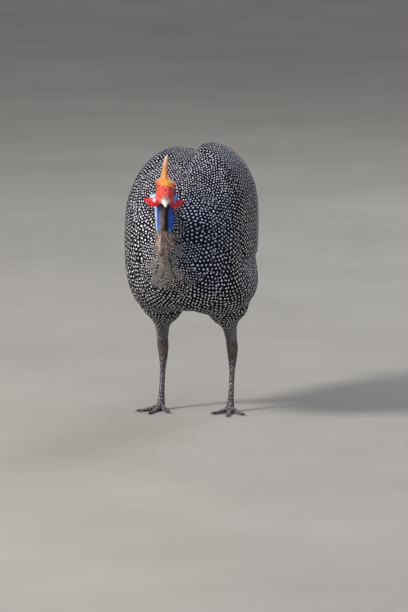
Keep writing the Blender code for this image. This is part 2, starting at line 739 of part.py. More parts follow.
def make_casque():
    """The bony helmet: a saddle over the crown that rises into a tall, narrow horn."""
    heights, widths, lengths, middles = np.array(CASQUE_LEVELS).T
    levels = np.concatenate([np.linspace(heights[0], 8.0, 8), np.linspace(13.0, heights[-1], 6)])
    rows = smooth_rows(heights, np.stack([widths, lengths, middles], axis=1), levels)
    angles = np.linspace(0, 2 * math.pi, 14, endpoint=False)
    rings = np.empty((len(levels), len(angles), 3))
    rings[..., 0] = rows[:, :1] * np.cos(angles)
    rings[..., 1] = rows[:, 2:3] + rows[:, 1:2] * np.sin(angles)
    saddle = -CASQUE_SADDLE * np.clip(1 - levels / CASQUE_SADDLE_HEIGHT, 0, 1)[:, None] * np.cos(angles) ** 2
    rings[..., 2] = CASQUE_BASE + levels[:, None] + saddle
    casque = loft("casque", turn_head(rings), "casque")
    apply_boolean(casque, [head_cutter()], "DIFFERENCE")


# The bill's stations from the face to the tip: y, top z, mouth-line z, half width.
UPPER_BILL = (
    (-210.0, 327.5, 314.9, 6.5),
    (-216.0, 323.7, 314.5, 5.8),
    (-222.0, 319.4, 313.2, 4.4),
    (-227.0, 313.8, 310.6, 2.5),
    (-229.5, 309.4, 308.0, 1.0),
)
LOWER_BILL = (
    (-209.0, 314.4, 309.1, 5.6),
    (-216.0, 314.0, 308.9, 4.7),
    (-221.0, 312.8, 308.9, 3.5),
    (-224.5, 310.6, 308.6, 1.8),
)


def half_bill(name, stations, upper):
    """One half of the bill: flat along the mouth line and arched away from it."""
    stations = np.array(stations)
    steps = np.linspace(0, 1, 9)
    rows = smooth_rows(np.linspace(0, 1, len(stations)), stations, steps)
    angles = np.linspace(0, math.pi, 9)
    flat = np.linspace(-1, 1, 5)[1:-1]
    across = np.concatenate([np.cos(angles), flat])
    lift = np.concatenate([np.sin(angles), 0 * flat])
    rings = np.empty((len(rows), len(across), 3))
    rings[..., 0] = rows[:, 3:4] * across
    rings[..., 1] = rows[:, 0:1]
    base = rows[:, 2:3] if upper else rows[:, 1:2]
    rise = rows[:, 1:2] - rows[:, 2:3] if upper else rows[:, 2:3] - rows[:, 1:2]
    rings[..., 2] = base + rise * lift
    bill = loft(name, turn_head(rings), "bill")
    cuts = [head_cutter()]
    if upper:
        cuts += [head_lump("nostril", side, NOSTRIL_PLACE, NOSTRIL_RADII, turned(x=-25), 4, 8) for side in (1, -1)]
    apply_boolean(bill, cuts, "DIFFERENCE")


# A wattle's stations from its root to its pointed tip: how far out, top z, bottom z, half thickness.
WATTLE_STATIONS = (
    (6.5, 315.5, 309.0, 2.4),
    (10.0, 315.2, 305.4, 2.3),
    (14.0, 314.8, 304.0, 2.1),
    (18.0, 314.6, 304.8, 1.9),
    (22.0, 314.4, 307.2, 1.6),
    (25.5, 314.2, 310.2, 1.2),
    (27.8, 313.8, 312.4, 0.7),
)
WATTLE_ROOT_Y = -201.5


def wattle_rings(side, steps, around):
    """Rings along a wattle, which sweeps back as it goes out."""
    stations = np.array(WATTLE_STATIONS)
    rows = smooth_rows(np.linspace(0, 1, len(stations)), stations, np.linspace(0, 1, steps))
    angles = np.linspace(0, 2 * math.pi, around, endpoint=False)
    out, top, bottom, thick = (rows[:, i : i + 1] for i in range(4))
    run = out - stations[0, 0]
    rings = np.empty((steps, around, 3))
    rings[..., 0] = side * (out - 0.5 * thick * np.cos(angles))
    rings[..., 1] = WATTLE_ROOT_Y + 0.5 * run + 0.012 * run**2 + thick * np.cos(angles)
    rings[..., 2] = (top + bottom) / 2 + (top - bottom) / 2 * np.sin(angles)
    return rings


def make_wattles():
    """The lobes of red skin that stand out from each corner of the mouth."""
    for side, name in ((1, "wattle_L"), (-1, "wattle_R")):
        wattle = loft(name, turn_head(wattle_rings(side, 10, 14)), "red_skin")
        apply_boolean(wattle, [head_cutter()], "DIFFERENCE")


# The feathered lower thigh: middle's y, height, half width, half depth, set in towards the other leg.
THIGH_STATIONS = (
    (-10, 172, 29, 42, 0),
    (-8, 152, 28, 38, 1.5),
    (-5, 137, 25.5, 31, 4),
    (-1, 126, 18, 24, 5),
    (3, 116, 10.6, 18, 2),
    (8, 101, 8.6, 13, 0.5),
    (12.5, 87, 7.6, 10, 0),
    (HOCK_SETBACK, HOCK_HEIGHT + GAP, 6.3, 7.8, 0),
)
# The scaled shank below the hock.
SHANK_STATIONS = (
    (HOCK_SETBACK, HOCK_HEIGHT, 6.1, 7.4, 0),
    (HOCK_SETBACK - 0.5, HOCK_HEIGHT - 7, 5.4, 6.8, 0),
    (HOCK_SETBACK - 2.5, HOCK_HEIGHT - 18, 3.9, 5.0, 0),
    (HOCK_SETBACK - 7, HOCK_HEIGHT - 38, 3.5, 4.6, 0),
    (HOCK_SETBACK - 12, HOCK_HEIGHT - 56, 4.2, 5.1, 0),
    (HOCK_SETBACK - 13.0, HOCK_HEIGHT - 61, 4.6, 5.4, 0),
)


def leg_rings(stations, x, steps, around):
    stations = np.array(stations, float)
    rows = smooth_rows(np.linspace(0, 1, len(stations)), stations, np.linspace(0, 1, steps))
    centres = np.stack([x - math.copysign(1, x) * rows[:, 4], rows[:, 0], rows[:, 1]], axis=1)
    angles = np.linspace(0, 2 * math.pi, around, endpoint=False)
    rings = np.repeat(centres[:, None, :], around, axis=1)
    rings[..., 0] += rows[:, 2:3] * np.cos(angles)
    rings[..., 1] += rows[:, 3:4] * np.sin(angles)
    return rings


# Toes: name, turn from straight ahead in degrees, length, half width at the root, root height.
TOES = (
    ("inner", -34.0, 33.0, 3.6, 7.0),
    ("middle", 2.0, 45.0, 3.9, 7.5),
    ("outer", 34.0, 36.0, 3.5, 7.0),
    ("hind", 172.0, 14.0, 2.9, 9.0),
)
CLAW_LENGTH = 9.0
CLAW_CLEARANCE = 0.15
FOOT_HEIGHT = HOCK_HEIGHT - 61 - GAP


def toe_path(root, turn, length, root_height, end_height):
    """Centres and half heights along a toe, with a swelling at each joint."""
    steps = np.linspace(0, 1, 7)
    ahead = np.array([math.sin(turn), -math.cos(turn), 0.0])
    centres = root + ahead * (steps * length)[:, None]
    drop = (1 - steps) ** 2.2
    centres[:, 2] = end_height + (root_height - end_height) * drop
    return centres, steps


def make_leg(side, name):
    x = side * LEG_SPREAD / 2 + LEG_SHIFT
    thigh = loft("thigh_" + name, leg_rings(THIGH_STATIONS, x, 9, 14), "plumage")
    apply_boolean(thigh, [body_cutter()], "DIFFERENCE")
    loft("shank_" + name, leg_rings(SHANK_STATIONS, x, 9, 12), "leg")
    make_foot(x, side, name)


def make_foot(x, side, name):
    """The foot's hub and toes as one piece, flat where it meets the floor, and its claws."""
    root_y = SHANK_STATIONS[-1][0] - 1.0
    hub = [(root_y, FOOT_HEIGHT, 4.6, 5.4, 0), (root_y - 1, 8.0, 5.4, 6.6, 0), (root_y - 1.5, 0.0, 4.4, 5.6, 0)]
    foot = loft("foot_" + name, leg_rings(hub, x, 4, 12), "leg")
    pieces = []
    for toe, degrees, length, half, root_height in TOES:
        turn = math.radians(degrees * side + 5.0 * side)
        root = np.array([x, root_y - 1.0, 0.0])
        end_height = 1.8
        centres, steps = toe_path(root, turn, length, root_height, end_height)
        swell = 1 + 0.10 * np.cos(steps * math.pi * 6)
        widths = (half + (2.3 - half) * steps) * swell
        heights = widths * 0.95
        pieces.append(loft("toe", pipe_about(centres, widths, heights, 8)))
        make_claw(f"claw_{toe}_{name}", centres, turn)
    apply_boolean(foot, pieces, "UNION")
    settle_on_floor(foot)


def pipe_about(centres, half_widths, half_heights, around):
    """Rings about a path that runs nearly level, each ring upright and square to the path."""
    ahead = np.gradient(centres, axis=0)
    ahead[:, 2] = 0
    ahead /= np.linalg.norm(ahead, axis=1)[:, None]
    side = np.stack([-ahead[:, 1], ahead[:, 0], 0 * ahead[:, 0]], axis=1)
    angles = np.linspace(0, 2 * math.pi, around, endpoint=False)
    wide = half_widths[:, None, None] * np.cos(angles)[None, :, None] * side[:, None, :]
    rings = centres[:, None, :] + wide
    rings[..., 2] += half_heights[:, None] * np.sin(angles)
    return rings


def make_claw(name, toe_centres, turn):
    """A curved, tapering claw, just off the end of its toe."""
    steps = np.linspace(0, 1, 5)
    ahead = np.array([math.sin(turn), -math.cos(turn), 0.0])
    centres = toe_centres[-1] + ahead * (GAP + steps * CLAW_LENGTH)[:, None]
    centres[:, 2] = toe_centres[-1][2] + 0.4 + 0.9 * np.sin(steps * math.pi * 0.8) - 1.2 * steps**2
    widths = 1.5 * (1 - steps) ** 0.8 + 0.25
    heights = 1.8 * (1 - steps) ** 0.8 + 0.25
    claw = loft(name, pipe_about(centres, widths, heights, 6), "claw")
    settle_on_floor(claw, CLAW_CLEARANCE)


def settle_on_floor(thing, level=0.0):
    """Presses what lies below a level, in mm from the floor, into small flats on it."""
    for vertex in thing.data.vertices:
        vertex.co.z = max(vertex.co.z, level * TO_METRES)


def recentre():
    """Moves the model so that the middle of its outline, seen from above, is over the origin."""
    corners = []
    for thing in bpy.data.objects:
        if not thing.hide_render:
            corners += [vertex.co for vertex in thing.data.vertices]
    low = Vector(map(min, zip(*corners)))
    high = Vector(map(max, zip(*corners)))
    shift = Matrix.Translation((-(low.x + high.x) / 2, -(low.y + high.y) / 2, -low.z))
    for thing in bpy.data.objects:
        thing.data.transform(shift)


clear_scene()
make_torso_and_neck()
make_head()
make_eyes()
make_casque()
half_bill("bill_upper", UPPER_BILL, True)
half_bill("bill_lower", LOWER_BILL, False)
make_wattles()
make_wings()
make_tail()
make_leg(1, "L")
make_leg(-1, "R")
recentre()
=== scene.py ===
"""The looks of a life-size helmeted guinea fowl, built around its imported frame.

Lengths are in millimetres, in the body's own frame, until in_frame() turns them into Blender's metres.
A place on the body is s, in mm from the tail along the middle, and an angle round the section. The
plumage is laid on that surface feather by feather. Every spot is a patch of faces of its own, kept in
pieces beside the dark vanes, so that the markings don't depend on a picture.
"""

import math

import bpy
import numpy as np
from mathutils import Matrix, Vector, kdtree, noise
from mathutils.geometry import delaunay_2d_cdt


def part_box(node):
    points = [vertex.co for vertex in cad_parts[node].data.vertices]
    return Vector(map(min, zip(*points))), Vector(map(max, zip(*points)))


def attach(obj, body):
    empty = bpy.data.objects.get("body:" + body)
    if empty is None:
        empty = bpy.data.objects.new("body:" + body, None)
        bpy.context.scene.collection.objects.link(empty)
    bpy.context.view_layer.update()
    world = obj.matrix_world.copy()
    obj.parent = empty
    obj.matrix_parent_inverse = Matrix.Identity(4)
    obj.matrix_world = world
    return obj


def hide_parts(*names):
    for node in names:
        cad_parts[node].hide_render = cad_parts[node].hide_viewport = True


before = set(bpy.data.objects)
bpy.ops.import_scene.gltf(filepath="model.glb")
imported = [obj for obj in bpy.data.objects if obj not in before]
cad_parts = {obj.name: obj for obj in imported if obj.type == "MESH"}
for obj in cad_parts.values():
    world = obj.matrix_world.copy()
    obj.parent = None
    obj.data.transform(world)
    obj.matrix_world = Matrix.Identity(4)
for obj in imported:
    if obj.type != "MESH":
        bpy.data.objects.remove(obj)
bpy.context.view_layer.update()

MM = 0.001
UP = np.array([0.0, 0.0, 1.0])
ACROSS = np.array([1.0, 0.0, 0.0])

# Driving sizes, the same as the frame's.
BACK_HEIGHT = 358.0
BELLY_HEIGHT = 136.0
BODY_HALF_WIDTH = 83.0
LEG_SPREAD = 97.0
LEG_SHIFT = 1.0
HOCK_HEIGHT = 75.0
HOCK_SETBACK = 15.0
EYE_PLACE = (10.8, -190.0, 324.5)
EYE_RADIUS = 4.8
EAR_PLACE = (14.0, -177.5, 319.5)
HEAD_TURN = math.radians(16.0)
HEAD_TURN_Y = -172.0
HEAD_ROLL = math.radians(4.0)
HEAD_ROLL_Z = 316.0
HEAD_SWAY = -6.5
SWAY_LEAD = 18.0
NECK_BOW = 0.35
NECK_BOW_PLACE = 358.0
NECK_BOW_LENGTH = 16.0

# Sections of the body tube, tail to face: name, back point (y, z), belly point (y, z),
# half width, squareness above, squareness below.
SECTIONS = (
    ("tail_end", (203, 220), (188, 207), 14, 2.0, 2.0),
    ("tail_root", (182, 250), (156, 200), 24, 2.0, 2.0),
    ("rump", (156, 286), (132, 178), 44, 2.1, 2.1),
    ("lower_back", (122, 318), (104, 153), 62, 2.2, 2.5),
    ("rear_back", (78, 342), (64, 140), 72, 2.3, 3.2),
    ("mid_back", (28, BACK_HEIGHT - 3.5), (20, BELLY_HEIGHT), BODY_HALF_WIDTH - 4, 2.5, 4.0),
    ("fore_back", (-22, BACK_HEIGHT), (-28, BELLY_HEIGHT), BODY_HALF_WIDTH, 2.6, 4.0),
    ("mantle", (-64, 353), (-78, 144), 80, 2.55, 3.3),
    ("shoulders", (-93, 339), (-118, 162), 71, 2.3, 2.4),
    ("breast", (-111, 321), (-145, 194), 49, 1.6, 2.1),
    ("neck_base", (-121, 305), (-161, 224), 17, 1.25, 2.0),
    ("collar", (-130, 298), (-170, 248), 11.6, 1.6, 2.0),
    ("lower_neck", (-141, 295.5), (-175, 266), 10.7, 1.9, 2.0),
    ("mid_neck", (-150, 300), (-178.5, 280), 10.8, 2.0, 2.0),
    ("upper_neck", (-156.5, 308.5), (-181, 292), 11.1, 2.0, 2.0),
    ("nape", (-162.5, 318.5), (-184, 301.5), 12.3, 2.0, 2.0),
    ("occiput", (-168.5, 329.5), (-188, 307), 14.0, 2.1, 2.1),
    ("crown", (-179, 338.5), (-193, 307.5), 13.8, 1.8, 2.2),
    ("eyes", (-192, 340), (-198.5, 307.5), 12.6, 1.8, 2.2),
    ("brow", (-204, 335.5), (-204.5, 308.5), 10.0, 1.9, 2.1),
    ("forehead", (-211.5, 328.5), (-209.5, 309.8), 7.7, 2.1, 2.0),
    ("face", (-216, 322), (-213.5, 311.5), 5.6, 2.0, 2.0),
)
# How far the folded wings lift the back, by side: height, and inner, highest and outer angle in degrees.
WING_HEAVE = {1: (12.5, 85.0, 77.0, 38.0), -1: (5.0, 92.0, 72.0, 25.0)}
# Where the sides stand out or in: side, size, and lowest, middle and highest angle in degrees.
SIDE_SWELLS = (
    (1, 6.5, 4.0, 48.0, 82.0),
    (1, 7.0, -74.0, -38.0, -14.0),
    (-1, -1.5, 0.0, 45.0, 84.0),
    (-1, -2.0, -25.0, 2.0, 30.0),
)
ARCH_RISE = 7.5
ARCH_HALF_ANGLE = 30.0

# The folded wing: angles of its edges and its middle, the share of its width left at its two ends, the
# lengths over which it narrows there, how far its front stands off, and how deep the body's feathers
# sink under it and beside its lower edge.
WING_LOW_ANGLE = -15.0
WING_HIGH_ANGLE = 80.0
WING_MIDDLE_ANGLE = 25.0
WING_REAR_SPREAD = 0.30
WING_FRONT_SPREAD = 0.35
WING_REAR_TAPER = 62.0
WING_FRONT_TAPER = 46.0
WING_SWELL = 3.2
TUCK_DEPTH = 1.7
GROOVE_DEPTH = 2.4

SIDES = ((1, "L"), (-1, "R"))


def smooth_rows(knots, rows, at):
    """A smooth curve through rows, one row for each knot, read at the values in at."""
    knots, rows = np.asarray(knots, float), np.asarray(rows, float)
    steps = np.diff(knots)[:, None]
    slopes = np.diff(rows, axis=0) / steps
    tangents = np.empty_like(rows)
    tangents[0], tangents[-1] = slopes[0], slopes[-1]
    tangents[1:-1] = (slopes[1:] * steps[:-1] + slopes[:-1] * steps[1:]) / (steps[:-1] + steps[1:])
    at = np.asarray(at, float)
    i = np.clip(np.searchsorted(knots, at) - 1, 0, len(knots) - 2)
    step = (knots[i + 1] - knots[i])[..., None]
    t = ((at - knots[i]) / step[..., 0])[..., None]
    start, end = rows[i], rows[i + 1]
    lead, trail = tangents[i] * step, tangents[i + 1] * step
    bend = (2 * t**3 - 3 * t**2 + 1) * start + (t**3 - 2 * t**2 + t) * lead
    return bend + (3 * t**2 - 2 * t**3) * end + (t**3 - t**2) * trail


def along_stations(stations, share):
    """Rows between evenly spaced stations, at shares of the whole length."""
    return smooth_rows(np.linspace(0, 1, len(stations)), stations, share)


def ease(value, low, high):
    """0 below low, 1 above high, with a smooth rise between."""
    t = np.clip((value - low) / (high - low), 0.0, 1.0)
    return t * t * (3 - 2 * t)


def between(value, rise, fall):
    """0 below, 1 between and 0 above, over the two ranges rise and fall."""
    return ease(value, *rise) * (1 - ease(value, *fall))


def bell(value, middle, width):
    return np.exp(-(((value - middle) / width) ** 2))


def ring_angles(count):
    return np.linspace(0, 2 * math.pi, count, endpoint=False)


def ring_grid(start, end, steps, around):
    """Places down a tube and angles round it, as two grids."""
    return np.meshgrid(np.linspace(start, end, steps), ring_angles(around), indexing="ij")


class BodyTube:
    """The plumage outline as one tube. A place on it is s, in mm from the tail, and an angle."""

    def __init__(self):
        self.rows = np.array([[*back, *belly, *rest] for _, back, belly, *rest in SECTIONS])
        middles = (self.rows[:, 0:2] + self.rows[:, 2:4]) / 2
        hops = np.linalg.norm(np.diff(middles, axis=0), axis=1)
        self.knots = np.concatenate([[0.0], np.cumsum(hops)])
        self.at = {section[0]: s for section, s in zip(SECTIONS, self.knots)}

    def hull(self, s, angle):
        """Points of the whole bird's outline, for arrays of s and of angles in radians."""
        s, angle = np.broadcast_arrays(np.asarray(s, float), np.asarray(angle, float))
        row = smooth_rows(self.knots, self.rows, s)
        middle = (row[..., 0:2] + row[..., 2:4]) / 2
        reach = (row[..., 0:2] - row[..., 2:4]) / 2
        across, along = np.cos(angle), np.sin(angle)
        square = np.where(along > 0, row[..., 5], row[..., 6])
        radius = (np.abs(across) ** square + np.abs(along) ** square) ** (-1 / square)
        points = np.empty(s.shape + (3,))
        points[..., 0] = row[..., 4] * radius * across
        points[..., 1:] = middle + reach * (radius * along)[..., None]
        points[..., 0] += self.swell(s, angle)
        points[..., 2] += self.heave(s, angle) + self.arch(s, angle)
        return points

    def window(self, s, rear, front, end):
        """1 on the middle of the body. It rises from the place rear and falls from front to end."""
        rear, front, end = (self.at[name] + shift for name, shift in (rear, front, end))
        return between(s, (rear, self.at["mid_back"]), (front, end))

    def arch(self, s, angle):
        """How far the belly is drawn up between the thighs."""
        from_below = np.degrees(np.arccos(np.clip(-np.sin(angle), -1.0, 1.0)))
        window = self.window(s, ("rear_back", -25), ("mantle", -5), ("shoulders", 0))
        return ARCH_RISE * window * (1 - ease(from_below, 4.0, ARCH_HALF_ANGLE))

    def swell(self, s, angle):
        """How far the body's sides stand out or in."""
        degrees = side_degrees(angle)
        window = self.window(s, ("lower_back", 0), ("mantle", -6), ("breast", 0))
        total = 0.0
        for side, size, low, peak, high in SIDE_SWELLS:
            mine = np.where(np.cos(angle) * side >= 0, side, 0.0)
            total = total + mine * size * ease(degrees, low, peak) * (1 - ease(degrees, peak, high))
        return total * window

    def heave(self, s, angle):
        """How far the folded wings lift the back."""
        degrees = side_degrees(angle)
        window = self.window(s, ("lower_back", 0), ("mantle", -6), ("shoulders", 10))
        total = 0.0
        for side, (height, inner, highest, outer) in WING_HEAVE.items():
            mine = np.where(np.cos(angle) * side >= 0, height, 0.0)
            total = total + mine * (1 - ease(degrees, highest, inner)) * ease(degrees, outer, highest)
        return total * window


def side_degrees(angle):
    """An angle round the section as degrees above the widest line, alike on both sides."""
    return np.degrees(np.arctan2(np.sin(angle), np.abs(np.cos(angle))))


TUBE = BodyTube()
WING_REAR = TUBE.at["tail_root"] + 16.0
WING_FRONT = TUBE.at["shoulders"] - 2.0
WING_LENGTH = WING_FRONT - WING_REAR
TUBE_LENGTH = TUBE.knots[-1]


def turn_head(points, share=1.0, sway=1.0):
    """Poses the head's points: tipped to one side, turned to the bird's left and held a little aside."""
    roll, angle = HEAD_ROLL * np.asarray(share), HEAD_TURN * np.asarray(share)
    x, y, z = points[..., 0], points[..., 1] - HEAD_TURN_Y, points[..., 2] - HEAD_ROLL_Z
    rolled = x * np.cos(roll) + z * np.sin(roll)
    turned = np.array(points, float)
    turned[..., 0] = rolled * np.cos(angle) - y * np.sin(angle) + HEAD_SWAY * np.asarray(sway)
    turned[..., 1] = rolled * np.sin(angle) + y * np.cos(angle) + HEAD_TURN_Y
    turned[..., 2] = z * np.cos(roll) - x * np.sin(roll) + HEAD_ROLL_Z
    return turned


def turn_share(s):
    return ease(s, TUBE.at["lower_neck"], TUBE.at["occiput"])


def sway_share(s):
    """How much of the head's sway the tube has at s. The foot of the neck bows out further."""
    swayed = ease(s, TUBE.at["breast"] - SWAY_LEAD, TUBE.at["collar"])
    return swayed + NECK_BOW * bell(s, NECK_BOW_PLACE, NECK_BOW_LENGTH)


def pose_tube(points, s):
    """Poses points of the tube: the neck sways first, and turns towards the head."""
    return turn_head(points, turn_share(s), sway_share(s))


def unpose_tube(points, s):
    """The posed points' places on a head that looks straight ahead."""
    roll, angle = HEAD_ROLL * turn_share(s), HEAD_TURN * turn_share(s)
    x, y = points[..., 0] - HEAD_SWAY * sway_share(s), points[..., 1] - HEAD_TURN_Y
    z = points[..., 2] - HEAD_ROLL_Z
    rolled = x * np.cos(angle) + y * np.sin(angle)
    straight = np.array(points, float)
    straight[..., 0] = rolled * np.cos(roll) - z * np.sin(roll)
    straight[..., 1] = y * np.cos(angle) - x * np.sin(angle) + HEAD_TURN_Y
    straight[..., 2] = z * np.cos(roll) + rolled * np.sin(roll) + HEAD_ROLL_Z
    return straight


def wing_place(s, angle):
    """A place of the body on the folded wing: the share of its width and of its length."""
    low, high = wing_span(s)
    return (side_degrees(angle) - low) / (high - low), (s - WING_REAR) / WING_LENGTH


def wing_span(s):
    """The folded wing's lowest and highest angle at s, in degrees."""
    rear = WING_REAR_SPREAD + (1 - WING_REAR_SPREAD) * ease(np.abs(s - WING_REAR), 0, WING_REAR_TAPER)
    front = WING_FRONT_SPREAD + (1 - WING_FRONT_SPREAD) * ease(np.abs(s - WING_FRONT), 0, WING_FRONT_TAPER)
    spread = np.minimum(rear, front)
    low = WING_MIDDLE_ANGLE + (WING_LOW_ANGLE - WING_MIDDLE_ANGLE) * spread
    return low, WING_MIDDLE_ANGLE + (WING_HIGH_ANGLE - WING_MIDDLE_ANGLE) * spread


def eye_centre(side):
    return turn_head(np.array(EYE_PLACE) * [side, 1, 1])


# The body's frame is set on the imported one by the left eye.
EYE_LOW, EYE_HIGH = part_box("eye_L")
SHIFT = np.array((EYE_LOW + EYE_HIGH) / 2) / MM - eye_centre(1)


def in_frame(points):
    return (np.asarray(points, float) + SHIFT) * MM


# Colours


def colour(red, green, blue):
    """A colour of 0 to 255 as Blender's linear one."""
    parts = np.array([red, green, blue]) / 255.0
    return tuple(np.where(parts <= 0.04045, parts / 12.92, ((parts + 0.055) / 1.055) ** 2.4)) + (1.0,)


SLATE = colour(8, 8, 12)
# A bluer slate: each feather's own tone, and on the body painted sky reflection on the upper sides and
# painted shade beside the neck.
SLATE_BLUE = colour(11, 17, 44)
TAUPE = colour(86, 78, 72)
SPOT_WHITE = colour(255, 253, 255)
SKIN_RED = colour(218, 18, 34)
SKIN_ORANGE = colour(226, 92, 30)
SKIN_PALE = colour(216, 238, 246)
SKIN_BLUE = colour(0, 76, 206)
CHEEK_BLUE = colour(20, 138, 226)
SKIN_TURQUOISE = colour(74, 168, 204)
THROAT = colour(164, 162, 166)
# Painted shadow beside the throat, on the side away from the key light.
THROAT_SHADOW = colour(14, 14, 20)
NAPE_BLUE = colour(40, 52, 84)
CHEEK_DARK = colour(30, 34, 52)
# Painted light and shade on the red face: orange on the lit side, a pink highlight, crimson on the shaded
# side.
FACE_LIT_ORANGE = colour(244, 92, 50)
FACE_HIGHLIGHT_PINK = colour(255, 128, 134)
FACE_SHADED_CRIMSON = colour(190, 14, 44)
MOUTH_ORANGE = colour(250, 150, 40)
# Painted shadow under the bill.
CHIN_SHADOW = colour(24, 22, 26)
LID_DARK = colour(26, 26, 36)
# Painted shade in the ear opening.
EAR_HOLE_SHADE = colour(22, 22, 34)
LEG_SKIN = colour(74, 62, 82)
# Painted highlights on the leg's scales.
SCALE_HIGHLIGHT = colour(206, 192, 190)
SCALE_GROOVE = colour(30, 25, 30)
HOCK_BROWN = colour(64, 55, 60)
FLOOR_GREYS = (colour(158, 154, 148), colour(168, 164, 158))


class Look:
    """A material, with short ways to add and join its nodes."""

    def __init__(self, name, **numbers):
        self.material = bpy.data.materials.new(name)
        self.material.use_nodes = True
        self.tree = self.material.node_tree
        self.shader = self.tree.nodes["Principled BSDF"]
        for socket, value in numbers.items():
            self.shader.inputs[socket.replace("_", " ")].default_value = value

    def node(self, kind, inputs=None, **settings):
        made = self.tree.nodes.new("ShaderNode" + kind)
        for setting, value in settings.items():
            setattr(made, setting, value)
        for socket, value in (inputs or {}).items():
            self.put(made.inputs[socket], value)
        return made

    def put(self, socket, value):
        if isinstance(value, bpy.types.NodeSocket):
            self.tree.links.new(value, socket)
        else:
            socket.default_value = value

    def attribute(self, name, output="Fac"):
        return self.node("Attribute", attribute_name=name).outputs[output]

    def place(self, scale=(1.0, 1.0, 1.0)):
        """The object's own coordinates, stretched."""
        where = self.node("TexCoord").outputs["Object"]
        return self.node("Mapping", {"Vector": where, "Scale": scale}).outputs["Vector"]

    def noise(self, scale, detail=3.0, vector=None):
        inputs = {"Vector": vector or self.place(), "Scale": scale, "Detail": detail, "Roughness": 0.55}
        return self.node("TexNoise", inputs).outputs["Fac"]

    def cells(self, scale):
        return self.node("TexVoronoi", {"Vector": self.place(), "Scale": scale}).outputs["Distance"]

    def sum(self, operation, *values):
        made = self.node("Math", operation=operation)
        for i, value in enumerate(values):
            self.put(made.inputs[i], value)
        return made.outputs[0]

    def blend(self, factor, first, second, kind="MIX"):
        made = self.node("Mix", data_type="RGBA", blend_type=kind)
        for i, value in ((0, factor), (6, first), (7, second)):
            self.put(made.inputs[i], value)
        return made.outputs[2]

    def stain(self, shade, over, factor, low, high, to_low=0.0, to_high=1.0):
        """The shade with another over it: to_low of it where the factor is low, to_high where it is high."""
        return self.blend(self.level(factor, low, high, to_low, to_high), shade, over)

    def ramp(self, factor, *stops):
        """Colours along a factor: pairs of place and (red, green, blue)."""
        made = self.node("ValToRGB", {"Fac": factor})
        while len(made.color_ramp.elements) < len(stops):
            made.color_ramp.elements.new(0.5)
        for element, (place, shade) in zip(made.color_ramp.elements, stops):
            element.position, element.color = place, colour(*shade)
        return made.outputs["Color"]

    def level(self, factor, low, high, to_low=0.0, to_high=1.0):
        """A value stretched from one range to another, held inside it."""
        inputs = {"Value": factor, "From Min": low, "From Max": high, "To Min": to_low, "To Max": to_high}
        return self.node("MapRange", inputs).outputs["Result"]

    def paint(self, shade):
        self.put(self.shader.inputs["Base Color"], shade)
        return self

    def rough(self, factor, low, high):
        self.put(self.shader.inputs["Roughness"], self.level(factor, 0.0, 1.0, low, high))
        return self

    def bump(self, height, strength, depth_mm):
        inputs = {"Height": height, "Strength": strength, "Distance": depth_mm * MM}
        self.put(self.shader.inputs["Normal"], self.node("Bump", inputs).outputs["Normal"])
        return self


def barb_lines(look):
    """Fine slanting lines of barbs, from the place on the vane."""
    parts = look.node("SeparateXYZ", {"Vector": look.attribute("barb", "Vector")}).outputs
    out = look.sum("ABSOLUTE", parts["X"])
    slant = look.sum("SUBTRACT", look.sum("MULTIPLY", out, 0.9), parts["Y"])
    wave = look.sum("SINE", look.sum("MULTIPLY", slant, 9.0))
    return look.level(wave, -1.0, 1.0), out


def plumage_look():
    look = Look("slate_feathers", Roughness=0.6, Specular_IOR_Level=0.1)
    lines, out = barb_lines(look)
    tone = look.attribute("tone")
    # The bluer slate by the tone attribute: partly each feather's own colour, partly painted sky reflection
    # and painted shade.
    slate = look.stain(SLATE, SLATE_BLUE, tone, 0.15, 1.0, 0.0, 0.75)
    slate = look.stain(slate, colour(30, 28, 34), look.noise(900.0, 4.0), 0.35, 0.75, 0.0, 0.3)
    warm = look.stain(colour(30, 27, 27), TAUPE, lines, 0.2, 0.9)
    shade = look.blend(look.attribute("warm"), slate, warm)
    shade = look.stain(shade, colour(16, 15, 20), out, 0.15, 0.45, 0.6, 0.0)
    shade = look.stain(shade, colour(12, 12, 16), lines, 0.0, 1.0, 0.35, 0.0)
    look.paint(shade).bump(lines, 0.35, 0.12)
    return look.material


def spot_look():
    look = Look("pearl_spots", Roughness=0.6, Specular_IOR_Level=0.3)
    lines, _ = barb_lines(look)
    shade = look.stain(SPOT_WHITE, colour(228, 224, 232), look.noise(700.0), 0.3, 0.7)
    shade = look.stain(shade, colour(196, 192, 204), lines, 0.0, 1.0, 0.3, 0.0)
    # Spots go blue-grey by the tone attribute: on the body painted sky reflection on the upper sides and
    # painted shade beside the neck, elsewhere each feather's own tone.
    shade = look.stain(shade, colour(140, 158, 206), look.attribute("tone"), 0.5, 1.0, 0.0, 0.5)
    shade = look.blend(look.sum("MULTIPLY", look.attribute("warm"), 0.6), shade, colour(224, 208, 184))
    look.paint(shade).bump(lines, 0.3, 0.1)
    return look.material


def down_look():
    look = Look("collar_feathers", Roughness=0.8, Specular_IOR_Level=0.2)
    shade = look.ramp(
        look.attribute("tone"),
        (0.0, (56, 47, 45)), (0.45, (142, 117, 108)), (0.8, (180, 154, 142)), (1.0, (218, 198, 184)),
    )
    # Where warm is low the down is near-black: the nape's own black hairs, and painted shadow on one side of
    # the throat's hairs.
    shade = look.blend(look.attribute("warm"), colour(18, 17, 19), shade)
    look.paint(shade).bump(look.noise(1500.0), 0.3, 0.1)
    return look.material


